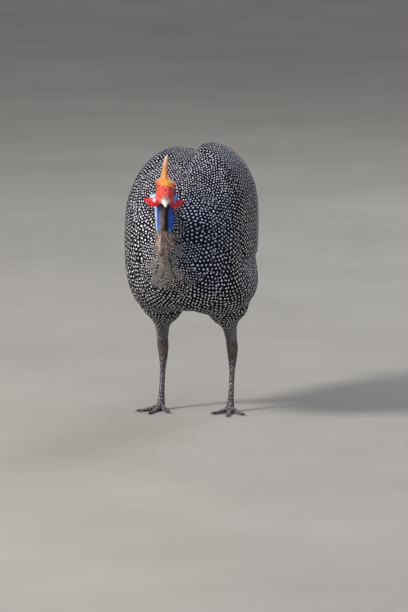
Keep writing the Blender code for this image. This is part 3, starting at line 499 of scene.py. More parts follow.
def skin_look():
    look = Look(
        "bare_skin", Subsurface_Weight=0.06, Subsurface_Scale=0.002, Roughness=0.5, Specular_IOR_Level=0.3
    )
    tint = look.attribute("tint", "Color")
    veins = look.noise(260.0, 5.0)
    shade = look.blend(look.level(veins, 0.45, 0.78, 0.0, 0.3), tint, colour(60, 40, 50), "MULTIPLY")
    shade = look.stain(shade, colour(235, 225, 220), look.noise(1100.0, 2.0), 0.6, 0.74, 0.0, 0.2)
    dots = look.level(look.cells(150.0), 0.24, 0.28, 1.0, 0.0)
    shade = look.blend(look.sum("MULTIPLY", dots, look.attribute("plumed")), shade, SPOT_WHITE)
    look.paint(shade).rough(veins, 0.38, 0.62)
    look.bump(look.sum("ADD", look.cells(1100.0), look.noise(700.0, 6.0)), 0.45, 0.25)
    return look.material


def horn_look():
    """The casque: orange-brown horn with a worn, paler top and a red foot."""
    look = Look("casque_horn", Roughness=0.5)
    height = look.node("SeparateXYZ", {"Vector": look.place()}).outputs["Z"]
    streaks = look.noise(1.0, 6.0, look.place((520.0, 520.0, 60.0)))
    grain = look.noise(900.0, 6.0)
    rise = look.sum("ADD", look.level(height, 0.333, 0.373), look.level(streaks, 0.3, 0.7, -0.06, 0.06))
    out = look.sum("ABSOLUTE", look.attribute("out"))
    ragged = look.sum("ADD", out, look.level(grain, 0.3, 0.7, -0.2, 0.2))
    foot = look.stain(colour(255, 176, 66), colour(220, 40, 44), ragged, 0.45, 0.8)
    shade = look.ramp(
        rise,
        (0.0, (236, 110, 44)), (0.22, (246, 150, 40)), (0.36, (226, 136, 50)),
        (0.62, (206, 134, 72)), (0.82, (214, 170, 124)), (1.0, (226, 200, 172)),
    )
    shade = look.stain(shade, foot, rise, 0.06, 0.2, 1.0, 0.0)
    shade = look.stain(shade, colour(150, 82, 36), streaks, 0.5, 0.75, 0.0, 0.45)
    shade = look.stain(shade, colour(226, 190, 150), grain, 0.5, 0.7, 0.0, 0.35)
    look.paint(shade).rough(grain, 0.38, 0.68)
    look.bump(look.sum("ADD", streaks, look.sum("MULTIPLY", grain, 0.6)), 0.6, 0.5)
    return look.material


def bill_look():
    look = Look("bill_horn", Roughness=0.36)
    streaks = look.noise(1.0, 5.0, look.place((700.0, 160.0, 700.0)))
    ahead = look.sum("ADD", look.attribute("tip"), look.level(streaks, 0.3, 0.7, -0.08, 0.08))
    # The near-white band below the grey is the bill's pale horn with a painted highlight on it.
    shade = look.ramp(
        ahead,
        (0.0, (198, 34, 38)), (0.2, (206, 70, 64)), (0.34, (178, 122, 116)), (0.48, (150, 138, 140)),
        (0.6, (226, 220, 214)), (0.8, (252, 248, 236)), (1.0, (222, 188, 154)),
    )
    shade = look.stain(shade, colour(150, 134, 130), streaks, 0.52, 0.75, 0.0, 0.4)
    look.paint(shade).rough(streaks, 0.28, 0.5).bump(streaks, 0.35, 0.2)
    return look.material


def claw_look():
    look = Look("claw_horn", Roughness=0.4)
    streaks = look.noise(1.0, 5.0, look.place((900.0, 260.0, 900.0)))
    shade = look.ramp(streaks, (0.3, (44, 38, 38)), (0.7, (96, 84, 80)))
    look.paint(shade).rough(streaks, 0.3, 0.55).bump(streaks, 0.3, 0.15)
    return look.material


def eye_look():
    """A dark brown iris round a black pupil, under a wet surface."""
    look = Look("eye_wet", Roughness=0.06, Coat_Weight=1.0, Coat_Roughness=0.03)
    out = look.attribute("ring")
    iris = look.stain(colour(46, 26, 18), colour(96, 58, 36), look.noise(900.0, 4.0), 0.35, 0.7)
    shade = look.stain(colour(4, 4, 5), iris, out, 0.42, 0.48)
    shade = look.stain(shade, colour(16, 11, 10), out, 0.78, 0.92)
    look.paint(shade)
    return look.material


LOOKS = {
    "plumage": plumage_look(),
    "spots": spot_look(),
    "down": down_look(),
    "skin": skin_look(),
    "horn": horn_look(),
    "bill": bill_look(),
    "claw": claw_look(),
    "eye": eye_look(),
}


# Meshes

ATTRIBUTE_KINDS = {1: ("FLOAT", "value"), 3: ("FLOAT_VECTOR", "vector"), 4: ("FLOAT_COLOR", "color")}


def build_mesh(name, points, faces, look, slot, replaces=(), uv=None, sharp=None, **values):
    """A piece from points in mm and triangles, with named numbers, vectors or colours at its points.

    sharp is the least angle, in degrees, at which an edge between two faces is sharp.
    """
    mesh = bpy.data.meshes.new(name)
    points, faces = in_frame(points), np.asarray(faces, np.int32)
    mesh.vertices.add(len(points))
    mesh.vertices.foreach_set("co", points.astype(np.float32).ravel())
    mesh.loops.add(faces.size)
    mesh.loops.foreach_set("vertex_index", faces.ravel())
    mesh.polygons.add(len(faces))
    mesh.polygons.foreach_set("loop_start", np.arange(0, faces.size, faces.shape[1], dtype=np.int32))
    mesh.update(calc_edges=True)
    for key, numbers in values.items():
        numbers = np.asarray(numbers, np.float32).ravel()
        kind, field = ATTRIBUTE_KINDS[len(numbers) // len(points)]
        mesh.attributes.new(key, kind, "POINT").data.foreach_set(field, numbers)
    if uv is not None:
        layer = mesh.uv_layers.new(name="OFBake")
        layer.data.foreach_set("uv", np.asarray(uv, np.float32)[faces.ravel()].ravel())
    mesh.shade_smooth()
    if sharp:
        mesh.set_sharp_from_angle(angle=math.radians(sharp))
    mesh.materials.append(LOOKS[look])
    piece = bpy.data.objects.new(name, mesh)
    bpy.context.scene.collection.objects.link(piece)
    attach(piece, "root")
    if replaces:
        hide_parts(*replaces)


def grid_faces(rows, columns, closed=True):
    """Triangles between rows of points, each row a ring if closed."""
    i, j = np.meshgrid(np.arange(rows - 1), np.arange(columns if closed else columns - 1), indexing="ij")
    k = (j + 1) % columns
    a, b, c, d = i * columns + j, i * columns + k, (i + 1) * columns + k, (i + 1) * columns + j
    return np.concatenate([np.stack([a, b, c], -1).reshape(-1, 3), np.stack([a, c, d], -1).reshape(-1, 3)])


def tube_shell(rings):
    """Points and triangles of a closed shell through rings, capped at both ends."""
    rings = np.asarray(rings, float)
    rows, around = rings.shape[:2]
    points = np.concatenate([rings.reshape(-1, 3), [rings[0].mean(0)], [rings[-1].mean(0)]])
    j = np.arange(around)
    k = (j + 1) % around
    size = rows * around
    first = np.stack([np.full(around, size), k, j], -1)
    last = np.stack([np.full(around, size + 1), size - around + j, size - around + k], -1)
    faces = np.concatenate([grid_faces(rows, around), first, last])
    inside_out = np.linalg.det(points[faces] - points.mean(0)).sum() < 0
    return points, faces[:, ::-1] if inside_out else faces


def join_shells(shells):
    """One set of points and faces from several."""
    points, faces, start = [], [], 0
    for some_points, some_faces in shells:
        points.append(some_points)
        faces.append(np.asarray(some_faces) + start)
        start += len(some_points)
    return np.concatenate(points), np.concatenate(faces)


def fuse(shells, voxel_mm, smoothing):
    """Shells fused into one even skin, as points and triangles."""
    points, faces = join_shells(shells)
    mesh = bpy.data.meshes.new("fuse")
    mesh.from_pydata((points * MM).tolist(), [], faces.tolist())
    helper = bpy.data.objects.new("fuse", mesh)
    bpy.context.scene.collection.objects.link(helper)
    outwards = helper.modifiers.new("outwards", "REMESH")
    outwards.mode = "VOXEL"
    outwards.voxel_size = voxel_mm * MM
    bpy.context.view_layer.update()
    made = helper.evaluated_get(bpy.context.evaluated_depsgraph_get()).to_mesh()
    made.calc_loop_triangles()
    points = np.empty(len(made.vertices) * 3, np.float32)
    made.vertices.foreach_get("co", points)
    faces = np.empty(len(made.loop_triangles) * 3, np.int32)
    made.loop_triangles.foreach_get("vertices", faces)
    bpy.data.objects.remove(helper)
    points, faces = points.reshape(-1, 3).astype(float) / MM, faces.reshape(-1, 3)
    return relax(points, faces, smoothing), faces


def relax(points, faces, rounds):
    """Each point moved towards the middle of its neighbours, rounds times."""
    ends = np.concatenate([faces[:, [0, 1]], faces[:, [1, 2]], faces[:, [2, 0]]])
    count = np.bincount(ends[:, 0], minlength=len(points))[:, None]
    for _ in range(rounds):
        total = np.stack([np.bincount(ends[:, 0], points[ends[:, 1], k], len(points)) for k in range(3)], -1)
        points = 0.5 * points + 0.5 * total / np.maximum(count, 1)
    return points


def point_normals(points, faces):
    """Unit normals at the points of a triangle mesh."""
    a, b, c = points[faces[:, 0]], points[faces[:, 1]], points[faces[:, 2]]
    flat = np.cross(b - a, c - a)
    total = np.zeros_like(points)
    for k in range(3):
        for axis in range(3):
            total[:, axis] += np.bincount(faces[:, k], flat[:, axis], len(points))
    return total / np.maximum(np.linalg.norm(total, axis=1), 1e-9)[:, None]


def noise_at(points, scale, seed=0.0):
    """Smooth noise from about -1 to 1 at points, with features of about scale mm."""
    offset = Vector((seed, seed * 1.7, -seed))
    return np.array([noise.noise(Vector(p) / scale + offset) for p in points])


# Surfaces that feathers lie on


class Surface:
    """A surface of places (u, v). flow is +1 where feathers run along u and -1 where they run against it."""

    def __init__(self, point, outward, flow, unwrap, base=None):
        self.point, self.outward, self.flow, self.unwrap = point, outward, flow, unwrap
        self.base = base or (lambda u, v: 0.0)

    def slopes(self, u, v):
        along = self.point(u + 0.5, v) - self.point(u - 0.5, v)
        around = (self.point(u, v + 0.01) - self.point(u, v - 0.01)) / 0.02
        normal = self.outward * np.cross(around, along)
        return along, around, normal / np.maximum(np.linalg.norm(normal, axis=-1), 1e-9)[..., None]

    def raised(self, u, v, height):
        _, _, normal = self.slopes(u, v)
        return self.point(u, v) + normal * np.asarray(height)[..., None]

    def spread(self, u, v, yaw, x, y, height):
        """World points of places about (u, v): x across and y along the lie, at a height."""
        along, around, normal = self.slopes(u, v)
        flow = along * self.flow
        flow /= np.linalg.norm(flow, axis=-1)[..., None]
        side = np.cross(normal, flow)
        cos, sin = np.cos(yaw)[:, None], np.sin(yaw)[:, None]
        ahead, out = flow * cos + side * sin, side * cos - flow * sin
        basis = np.stack([along, around], axis=-1)
        metric = np.linalg.inv(np.einsum("nki,nkj->nij", basis, basis))
        ways = np.stack([out, ahead], axis=-1)
        turn = np.einsum("nij,nkj,nkl->nil", metric, basis, ways)
        du = turn[:, 0, 0, None] * x + turn[:, 0, 1, None] * y
        dv = turn[:, 1, 0, None] * x + turn[:, 1, 1, None] * y
        u, v = u[:, None] + du, v[:, None] + dv
        return self.raised(u, v, height + self.base(u, v)), u, v


def wing_swell(s, angle):
    """How far the folded wing's front part stands off the body."""
    share, place = wing_place(s, angle)
    across = between(share, (-0.03, 0.06), (0.90, 1.02))
    return WING_SWELL * across * between(place, (0.30, 0.55), (0.86, 1.0))


def unwrap_body(s, angle):
    return np.stack([(angle / (2 * math.pi)) % 1.0, s / TUBE_LENGTH], -1)


def tuck(s, angle):
    """How far the body's feathers sink where they run on under the edges of the wing's long ones."""
    share, place = wing_place(s, angle)
    across = between(share, (-0.03, 0.05), (0.95, 1.03))
    hidden = -TUCK_DEPTH * across * ease(place, 0.0, 0.05) * (1 - ease(place, 0.5, 0.66))
    groove = -GROOVE_DEPTH * bell(share, -0.045, 0.05) * ease(place, 0.1, 0.3) * (1 - ease(place, 0.72, 0.9))
    return hidden + groove


def body_point(s, angle):
    return pose_tube(TUBE.hull(s, angle), s)


BODY = Surface(body_point, 1, -1, unwrap_body, lambda s, angle: wing_swell(s, angle) + tuck(s, angle))


def wing_surface(side):
    """The folded wing: u is mm from its rear end, and v the share of its width from its lower edge."""

    def point(u, share):
        place = u / WING_LENGTH
        low, high = wing_span(WING_REAR + np.maximum(u, 0))
        angle = np.radians(low + (high - low) * share)
        return TUBE.hull(WING_REAR + place * WING_LENGTH, angle if side > 0 else math.pi - angle)

    def unwrap(u, share):
        return np.stack([0.25 + 0.5 * share, 0.1 + u / TUBE_LENGTH], -1)

    return Surface(point, side, -1, unwrap)


# Stations down a leg: middle's y, height, half width, half depth, set in towards the other leg.
THIGH_STATIONS = (
    (-10, 172, 29, 42, 0),
    (-8, 152, 28, 38, 1.5),
    (-5, 137, 25.5, 31, 4),
    (-1, 126, 18, 24, 5),
    (3, 116, 10.6, 18, 2),
    (8, 101, 8.6, 13, 0.5),
    (12.5, 87, 7.6, 10, 0),
    (HOCK_SETBACK, HOCK_HEIGHT, 6.3, 7.8, 0),
)
SHANK_STATIONS = (
    (HOCK_SETBACK, HOCK_HEIGHT, 6.1, 7.4, 0),
    (HOCK_SETBACK - 0.5, HOCK_HEIGHT - 7, 5.4, 6.8, 0),
    (HOCK_SETBACK - 2.5, HOCK_HEIGHT - 18, 3.9, 5.0, 0),
    (HOCK_SETBACK - 7, HOCK_HEIGHT - 38, 3.5, 4.6, 0),
    (HOCK_SETBACK - 12, HOCK_HEIGHT - 56, 4.2, 5.1, 0),
    (HOCK_SETBACK - 13.0, HOCK_HEIGHT - 61, 4.6, 5.4, 0),
)
THIGH_LENGTH = 100.0


def leg_x(side):
    return side * LEG_SPREAD / 2 + LEG_SHIFT


def leg_points(stations, side, share, angle, thinner=0.0):
    """Points of a leg's tube, at shares of its length from the top and angles round it."""
    rows = along_stations(stations, share)
    points = np.empty(np.broadcast(share, angle).shape + (3,))
    points[..., 0] = leg_x(side) - side * rows[..., 4] + (rows[..., 2] - thinner) * np.cos(angle)
    points[..., 1] = rows[..., 0] + (rows[..., 3] - thinner) * np.sin(angle)
    points[..., 2] = rows[..., 1]
    return points


def thigh_surface(side):
    """A thigh: u is its length in percent from the top, and v the angle round it."""

    def point(u, angle):
        return leg_points(THIGH_STATIONS, side, u / THIGH_LENGTH, angle)

    def unwrap(u, angle):
        return np.stack([(angle / (2 * math.pi)) % 1.0, 1 - u / THIGH_LENGTH], -1)

    return Surface(point, -1, 1, unwrap, lambda u, angle: -1.2 * ease(u, 18.0, 45.0))


# Feathers


class Vane:
    """A feather's flat pattern: points, faces of the vane and its spots, and an underside that closes it."""

    def __init__(self, outline, marks, inside):
        points = [Vector(p) for p in np.concatenate([outline, *marks, inside])]
        loops, start = [], 0
        for ring in (outline, *marks):
            loops.append(list(range(start, start + len(ring))))
            start += len(ring)
        found, _, faces, origins, _, owners = delaunay_2d_cdt(points, [], loops, 1, 1e-5)
        self.points = np.array([list(p) for p in found])
        kept = [(f, owner) for f, owner in zip(faces, owners) if 0 in owner and len(f) == 3]
        self.faces = np.array([f for f, _ in kept])
        self.marked = np.array([max(owner) > 0 for _, owner in kept])
        self.close([i for i, origin in enumerate(origins) if origin and min(origin) >= start])

    def close(self, inner):
        """Adds the underside: the same edge, with the inner points repeated below."""
        follows = {}
        ends = {(f[i], f[(i + 1) % 3]) for f in self.faces.tolist() for i in range(3)}
        for a, b in ends:
            if (b, a) not in ends:
                follows[a] = b
        loop = [min(follows)]
        while follows[loop[-1]] != loop[0] and len(loop) <= len(follows):
            loop.append(follows[loop[-1]])
        names = loop + list(range(len(self.points), len(self.points) + len(inner)))
        flat = [Vector(p) for p in self.points[loop + inner]]
        _, _, faces, origins, _, _ = delaunay_2d_cdt(flat, [], [list(range(len(loop)))], 1, 1e-5)
        self.under = np.array([[names[origins[v][0]] for v in reversed(f)] for f in faces if len(f) == 3])
        self.lower = np.concatenate([np.zeros(len(self.points)), np.ones(len(inner))])
        self.points = np.concatenate([self.points, self.points[inner]])


def polygon(x, y, radius, rng, sides=8):
    """A round spot, not quite even."""
    angles = ring_angles(sides) + rng.uniform(0, 1)
    reach = radius * (1 + rng.normal(0, 0.06, sides))
    return np.stack([x + reach * np.cos(angles), y + reach * np.sin(angles)], -1)


def round_outline(half, root, tip, rng, ragged, tip_share=0.8, sides=7, arc=17):
    """The edge of a feather: a narrow root, sides that widen, and a round tip of barbs."""
    bend = tip - tip_share * half
    t = np.linspace(0, 1, sides)
    wide = half * (0.40 + 0.60 * np.sin(t * math.pi / 2) ** 0.8)
    right = np.stack([wide, root + t * (bend - root)], -1)
    turn = np.linspace(0, math.pi, arc)[1:-1]
    round_tip = np.stack([half * np.cos(turn), bend + tip_share * half * np.sin(turn)], -1)
    split = np.where(rng.uniform(0, 1, len(turn)) < 0.3, ragged, 0.0) + rng.uniform(0, ragged / 3, len(turn))
    middle = np.array([0.0, bend])
    round_tip = middle + (round_tip - middle) * (1 - split)[:, None]
    left = right[::-1] * [-1, 1]
    return np.concatenate([right, round_tip, left])


def support_points(half, root, tip, step, marks, reach):
    """Points inside a feather that let it bend, clear of its edge and its spots."""
    rows = np.arange(root + step, tip - step * 0.8, step)
    columns = np.array([-0.62, -0.3, 0.0, 0.3, 0.62]) * half
    grid = np.array([(x, y) for y in rows for x in columns])
    t = (grid[:, 1] - root) / (tip - root)
    inside = np.abs(grid[:, 0]) < half * np.minimum(0.36 + 0.6 * t * 1.2, 2.6 * (1 - t)) * 0.86
    grid = grid[inside]
    for middle in marks:
        grid = grid[np.linalg.norm(grid - middle, axis=1) > reach]
    return grid


# A body feather's pattern is in tile widths: 1 is the distance to the next feather of its row.
BODY_PATTERNS = {}
SPOT_RADIUS = 0.110
BODY_VANE_HALF = 0.69
BODY_VANE_OVERLAP = 0.16
BODY_VANE_HIDDEN = 0.35


def round_marks(columns, step, shown, top, shake, radius, uneven, sides, rng):
    """Rows of round spots, two kinds of row by turns, and their middles. Those on a seam aren't shaken."""
    middles = []
    for k in range(shown + 2):
        for x in columns[k % 2]:
            shift = 0.0 if abs(x) == 0.5 else shake
            middles.append((x + rng.normal(0, shift), top - k * step / shown + rng.normal(0, shift)))
    return [polygon(x, y, radius * rng.normal(1.0, uneven), rng, sides) for x, y in middles], middles


def spot_marks(step, tip, rng, odd):
    """Round spots on a lattice that a feather shares with its neighbours, and their middles."""
    shown = 2 if step < 1.05 else 3 if step < 1.45 else 4
    columns = ((-0.25, 0.25), (-0.5, 0.0, 0.5))
    if odd and shown == 3:
        columns = columns[::-1]
    return round_marks(columns, step, shown, tip - 0.23, 0.022, SPOT_RADIUS, 0.11, 8, rng)


def fine_marks(step, tip, rng, odd):
    """Small, dense spots, and their middles."""
    columns = ((-0.33, 0.0, 0.33), (-0.5, -0.17, 0.17, 0.5))
    return round_marks(columns, step, max(3, round(step * 4)), tip - 0.2, 0.03, 0.075, 0.14, 6, rng)


def bar_marks(step, tip, rng, odd):
    """Fine broken bars that follow the round tip, evenly spaced from one row of feathers to the next."""
    marks = []
    shown = max(3, round(step * 5))
    for k in range(shown + 2):
        y = tip - 0.12 - k * step / shown
        edges = np.linspace(-0.54, 0.54, 6) + (0.1 if k % 2 else 0.0)
        for start, end in zip(edges, edges[1:]):
            x = np.array([start + 0.03, end - 0.03])
            if abs(x).max() > 0.6:
                continue
            low = np.stack([x, y - 0.45 * x**2 + rng.normal(0, 0.008)], -1)
            wide = 0.062 * rng.normal(1.0, 0.15)
            marks.append(np.concatenate([low, low[::-1] + [0, wide]]))
    return marks, [ring.mean(0) for ring in marks]


MARKS = {"spots": spot_marks, "fine": fine_marks, "bars": bar_marks}


def body_vane(style, aspect, seed, odd):
    """A body feather in tile widths."""
    key = (style, aspect, seed, odd)
    if key not in BODY_PATTERNS:
        rng = np.random.default_rng(seed * 131 + aspect * 7 + odd)
        step = aspect * 0.1
        half, tip = BODY_VANE_HALF, 0.5 * step + BODY_VANE_OVERLAP
        root = tip - 2.5 * step - BODY_VANE_HIDDEN
        marks, middles = MARKS[style](step, tip, rng, odd)
        outline = round_outline(half, root, tip, rng, 0.07)
        inside = support_points(half, root, tip, 0.24, np.array(middles), 0.16)
        made = Vane(outline, marks, inside)
        made.half, made.root, made.tip = half, root, tip
        BODY_PATTERNS[key] = made
    return BODY_PATTERNS[key]


class Coat:
    """Feathers gathered for one region: the dark vanes and the pale spots become two pieces."""

    def __init__(self):
        self.chunks = {"vanes": [], "spots": []}

    def add(self, vane, points, uv, tone, warm, barb):
        """points is (feathers, points of the pattern, 3), and the rest match it."""
        dark = np.concatenate([vane.faces[~vane.marked], vane.under])
        for kind, chosen in (("vanes", dark), ("spots", vane.faces[vane.marked])):
            if len(chosen) == 0:
                continue
            used, flat = np.unique(chosen, return_inverse=True)
            faces = flat.reshape(chosen.shape)[None] + (np.arange(len(points)) * len(used))[:, None, None]
            self.chunks[kind].append(
                (
                    points[:, used].reshape(-1, 3),
                    faces.reshape(-1, 3),
                    uv[:, used].reshape(-1, 2),
                    np.repeat(tone, len(used)),
                    warm[:, used].ravel(),
                    barb[:, used].reshape(-1, 3),
                )
            )

    def add_long(self, vane, points, uv, tone):
        """Adds one long feather."""
        x, y = vane.points.T
        barb = np.stack([x, y, 0 * x], -1)[None]
        self.add(vane, points[None], uv, np.array([tone]), np.zeros((1, len(x))), barb)

    def build(self, name, slot, *replaced):
        """The region's two pieces: the vanes, which stand for the replaced nodes, and the spots."""
        for prefix, kind, look, nodes, sharp in (
            ("plumage_", "vanes", "plumage", replaced, 75),
            ("spots_", "spots", "spots", (), None),
        ):
            chunks = self.chunks[kind]
            points, faces = join_shells([chunk[:2] for chunk in chunks])
            uv, tone, warm, barb = (np.concatenate([chunk[k] for chunk in chunks]) for k in range(2, 6))
            build_mesh(
                prefix + name, points, faces, look, slot, nodes, uv, sharp, tone=tone, warm=warm, barb=barb
            )


PATCH_HALF = 0.0015


def patch_uv(surface, u, v, x, y, half, length):
    """Each feather's small patch on the unwrap, at its root."""
    middle = np.clip(surface.unwrap(u, v), 0.002, 0.998)[:, None, :]
    small = np.stack([x / half[:, None], y / length[:, None]], -1) * PATCH_HALF
    return middle + np.clip(small, -PATCH_HALF, PATCH_HALF)


def body_height(vane):
    """The height of a body feather's points, in tile widths: sunk at the root, arched, low at the tip."""
    x, y = vane.points.T
    t = (y - vane.root) / (vane.tip - vane.root)
    arch = 0.055 * (1 - (x / vane.half) ** 2) * ease(t, 0.0, 0.4)
    return -0.085 + 0.125 * t + arch - 0.04 * ease(t, 0.86, 1.0) - 0.045 * vane.lower


def lay_body_feathers(coat, surface, rng, u, v, wide, long, odd, styles, warm_at, tone_at):
    """Lays feathers of tile width wide and row step long at places (u, v)."""
    aspect = np.clip(np.round(long / wide * 10), 4, 18).astype(int)
    exact = long / wide / (aspect * 0.1)
    seeds = rng.integers(0, 4, len(u))
    yaws = rng.normal(0, 0.02, len(u))
    rise = rng.normal(0, 0.012, len(u)) * wide
    tilt = rng.choice([-1.0, 1.0], len(u)) * 0.02
    tone = np.clip(tone_at + rng.normal(0, 0.12, len(u)), 0, 1)
    for key in sorted(set(zip(styles.tolist(), aspect.tolist(), seeds.tolist(), odd.astype(int).tolist()))):
        mine = (styles == key[0]) & (aspect == key[1]) & (seeds == key[2]) & (odd == key[3])
        vane = body_vane(*key)
        width = wide[mine][:, None]
        x, y = vane.points[:, 0] * width, vane.points[:, 1] * width * exact[mine][:, None]
        height = width * (body_height(vane) + tilt[mine][:, None] * vane.points[:, 0])
        points, at_u, at_v = surface.spread(u[mine], v[mine], yaws[mine], x, y, height + rise[mine][:, None])
        uv = patch_uv(surface, u[mine], v[mine], x, y, wide[mine], wide[mine] * 2)
        barb = np.stack([x, y, 0 * x], -1)
        coat.add(vane, points, uv, tone[mine], warm_at(at_u, at_v), barb)


# The plumage of the body: from s, to s, feathers round the section.
BODY_BANDS = (
    (350.0, 343.0, 18), (343.0, 335.0, 26), (335.0, 326.0, 35), (326.0, 316.0, 44), (316.0, 302.0, 50),
    (302.0, 284.0, 56), (284.0, 92.0, 60), (92.0, 52.0, 40), (52.0, 8.0, 24),
)
ROW_STEP = 0.80
WING_TIERS_END = 0.60


def feather_size(angle):
    """How wide feathers are round the section: least on the back and most low on the flanks."""
    return np.interp(side_degrees(angle), (-90, -45, 0, 45, 90), (1.05, 1.20, 1.04, 0.78, 0.72))


def body_places():
    """Places of the body's feathers, in staggered rows, with their widths and row steps."""
    found = []
    fine = np.linspace(-math.pi / 2, 1.5 * math.pi, 721)
    row = 0
    for start, end, count in BODY_BANDS:
        s = start
        while s > end:
            ring = BODY.point(np.full_like(fine, s), fine)
            hops = np.linalg.norm(np.diff(ring, axis=0), axis=1) / feather_size((fine[1:] + fine[:-1]) / 2)
            walked = np.concatenate([[0.0], np.cumsum(hops)])
            pitch = walked[-1] / count
            step = ROW_STEP * pitch
            angles = np.interp((np.arange(count) + 0.5 * (row % 2)) * pitch, walked, fine)
            along, _, _ = BODY.slopes(np.full(count, s), angles)
            for a, size, stretch in zip(angles, feather_size(angles), np.linalg.norm(along, axis=1)):
                found.append((s, a, pitch * size, step * stretch, row % 2))
            s -= step
            row += 1
    return np.array(found)


BREAST_PATCH_PLACE = 352.0


def off_breast(s, angle, turn, length, width):
    """How far places are from the middle of a patch under the neck, for its half length and half width."""
    around = (angle + math.pi / 2 + turn + math.pi) % (2 * math.pi) - math.pi
    return np.hypot((s - BREAST_PATCH_PLACE) / length, around / width)


def breast_share(s, angle):
    """1 on the grey-brown, finely barred patch under the neck, with a soft rim."""
    return 1 - ease(off_breast(s, angle, 0.0, 33.0, 1.35), 0.75, 1.15)


def warm_at_body(s, angle):
    """How grey-brown the plumage is: most at the foot of the neck and just below it."""
    return 0.85 * (1 - ease(off_breast(s, angle, 0.1, 27.0, 0.95), 0.5, 1.2))


def under_wing(s, angle):
    """Where the wing's own long feathers cover the body."""
    share, place = wing_place(s, angle)
    return (share > 0.13) & (share < 0.87) & (place > 0.04) & (place < WING_TIERS_END)


def in_thigh(points):
    """Where a thigh's own feathers cover the body."""
    hidden = np.zeros(len(points), bool)
    for side in (1, -1):
        off = ((points[:, 0] - leg_x(side)) / 21.0) ** 2 + ((points[:, 1] + 5.0) / 27.0) ** 2
        hidden |= (off < 1) & (points[:, 2] < 158)
    return hidden


def make_body_coat():
    rng = np.random.default_rng(11)
    places = body_places()
    hidden = under_wing(places[:, 0], places[:, 1]) | in_thigh(BODY.point(places[:, 0], places[:, 1]))
    s, angle, wide, long, odd = places[~hidden].T
    where = TUBE.hull(s, angle)
    s = s + 1.1 * noise_at(where, 21.0, 3.0)
    angle = angle + 1.1 * noise_at(where, 21.0, 8.0) / 75.0
    barred = breast_share(s, angle) + 0.3 * noise_at(where, 9.0, 5.0) + rng.normal(0, 0.1, len(s))
    finer = (barred < 0.62) | (noise_at(where, 16.0, 9.0) > 0.12)
    styles = np.where(barred < 0.3, "spots", np.where(finer, "fine", "bars"))
    front, left = s > 212, np.cos(angle) >= 0
    for name, mine in (
        ("front_L", front & left),
        ("front_R", front & ~left),
        ("rear_L", ~front & left),
        ("rear_R", ~front & ~left),
    ):
        coat = Coat()
        # Painted light in the feathers' tone: a bluer slate on the upper sides as painted sky reflection,
        # and on the bird's left beside the neck as painted shade, over each feather's own tone.
        neck_shade = ease(s[mine], 285.0, 325.0) * ease(np.cos(angle[mine]), 0.2, 0.7)
        tone = 0.36 + 0.34 * np.clip(np.sin(angle[mine]), 0, 1) + 0.6 * neck_shade
        lay_body_feathers(
            coat, BODY, rng, s[mine], angle[mine], wide[mine], long[mine], odd[mine], styles[mine],
            warm_at_body, tone,
        )
        coat.build(name, "plumage")


def long_vane(length, half, rng, style, pitch=5.7, radius=1.4):
    """A long feather in mm, root at y 0. Rows of spots, and at its outer edge bars where style has them."""
    outline = round_outline(half, 0.0, length, rng, 0.05, 1.15, 15, 19)
    middles, marks = [], []
    row = 0
    y = length - 2.8
    while y > length * 0.22:
        offset = 0.25 if row % 2 else 0.75
        for k in range(-3, 4):
            x = (k + offset) * pitch
            room = half * min(1.0, 0.55 + y / length, math.sqrt(max(0.0, 2.2 * (length - y) / half)))
            if abs(x) < room - radius * 0.9 and not (style == "bars" and x > half * 0.42):
                middles.append((x, y))
                marks.append(polygon(x, y, radius * rng.normal(1.0, 0.05), rng))
        if style == "bars" and y < length - half * 1.2:
            for shift in (0.0, 0.5):
                low = y - shift * pitch * 0.8
                bar = np.array([(0.55, -0.9), (1.2, 0.3), (1.2, 1.3), (0.55, 0.1)]) * [half, 1.0] + [0, low]
                marks.append(bar)
        y -= pitch * 0.80
        row += 1
    inside = support_points(half, 0.0, length, min(7.0, half * 0.7), np.array(middles), radius * 1.6)
    vane = Vane(outline, marks, inside)
    vane.half, vane.root, vane.tip = half, 0.0, length
    return vane


# The wing's tiers: place of the roots, of the tips at the wing's edges and at its middle, how many, the
# style of the markings, and the heights of their middles at (place, height) points.
WING_TIERS = (
    (0.62, 0.22, -0.13, 13, "bars", ((-0.15, 1.7), (0.0, 1.3), (0.2, 0.7), (0.45, 0.1), (0.62, -1.4))),
    (0.72, 0.40, 0.28, 12, "spots", ((0.25, 1.9), (0.45, 1.7), (0.6, 1.2), (0.74, -1.0))),
    (0.80, 0.54, 0.44, 12, "spots", ((0.42, 3.2), (0.55, 3.0), (0.68, 2.4), (0.82, 0.4))),
)
WING_OVERLAP = 0.78
WING_TOP_SINKS = 3.4


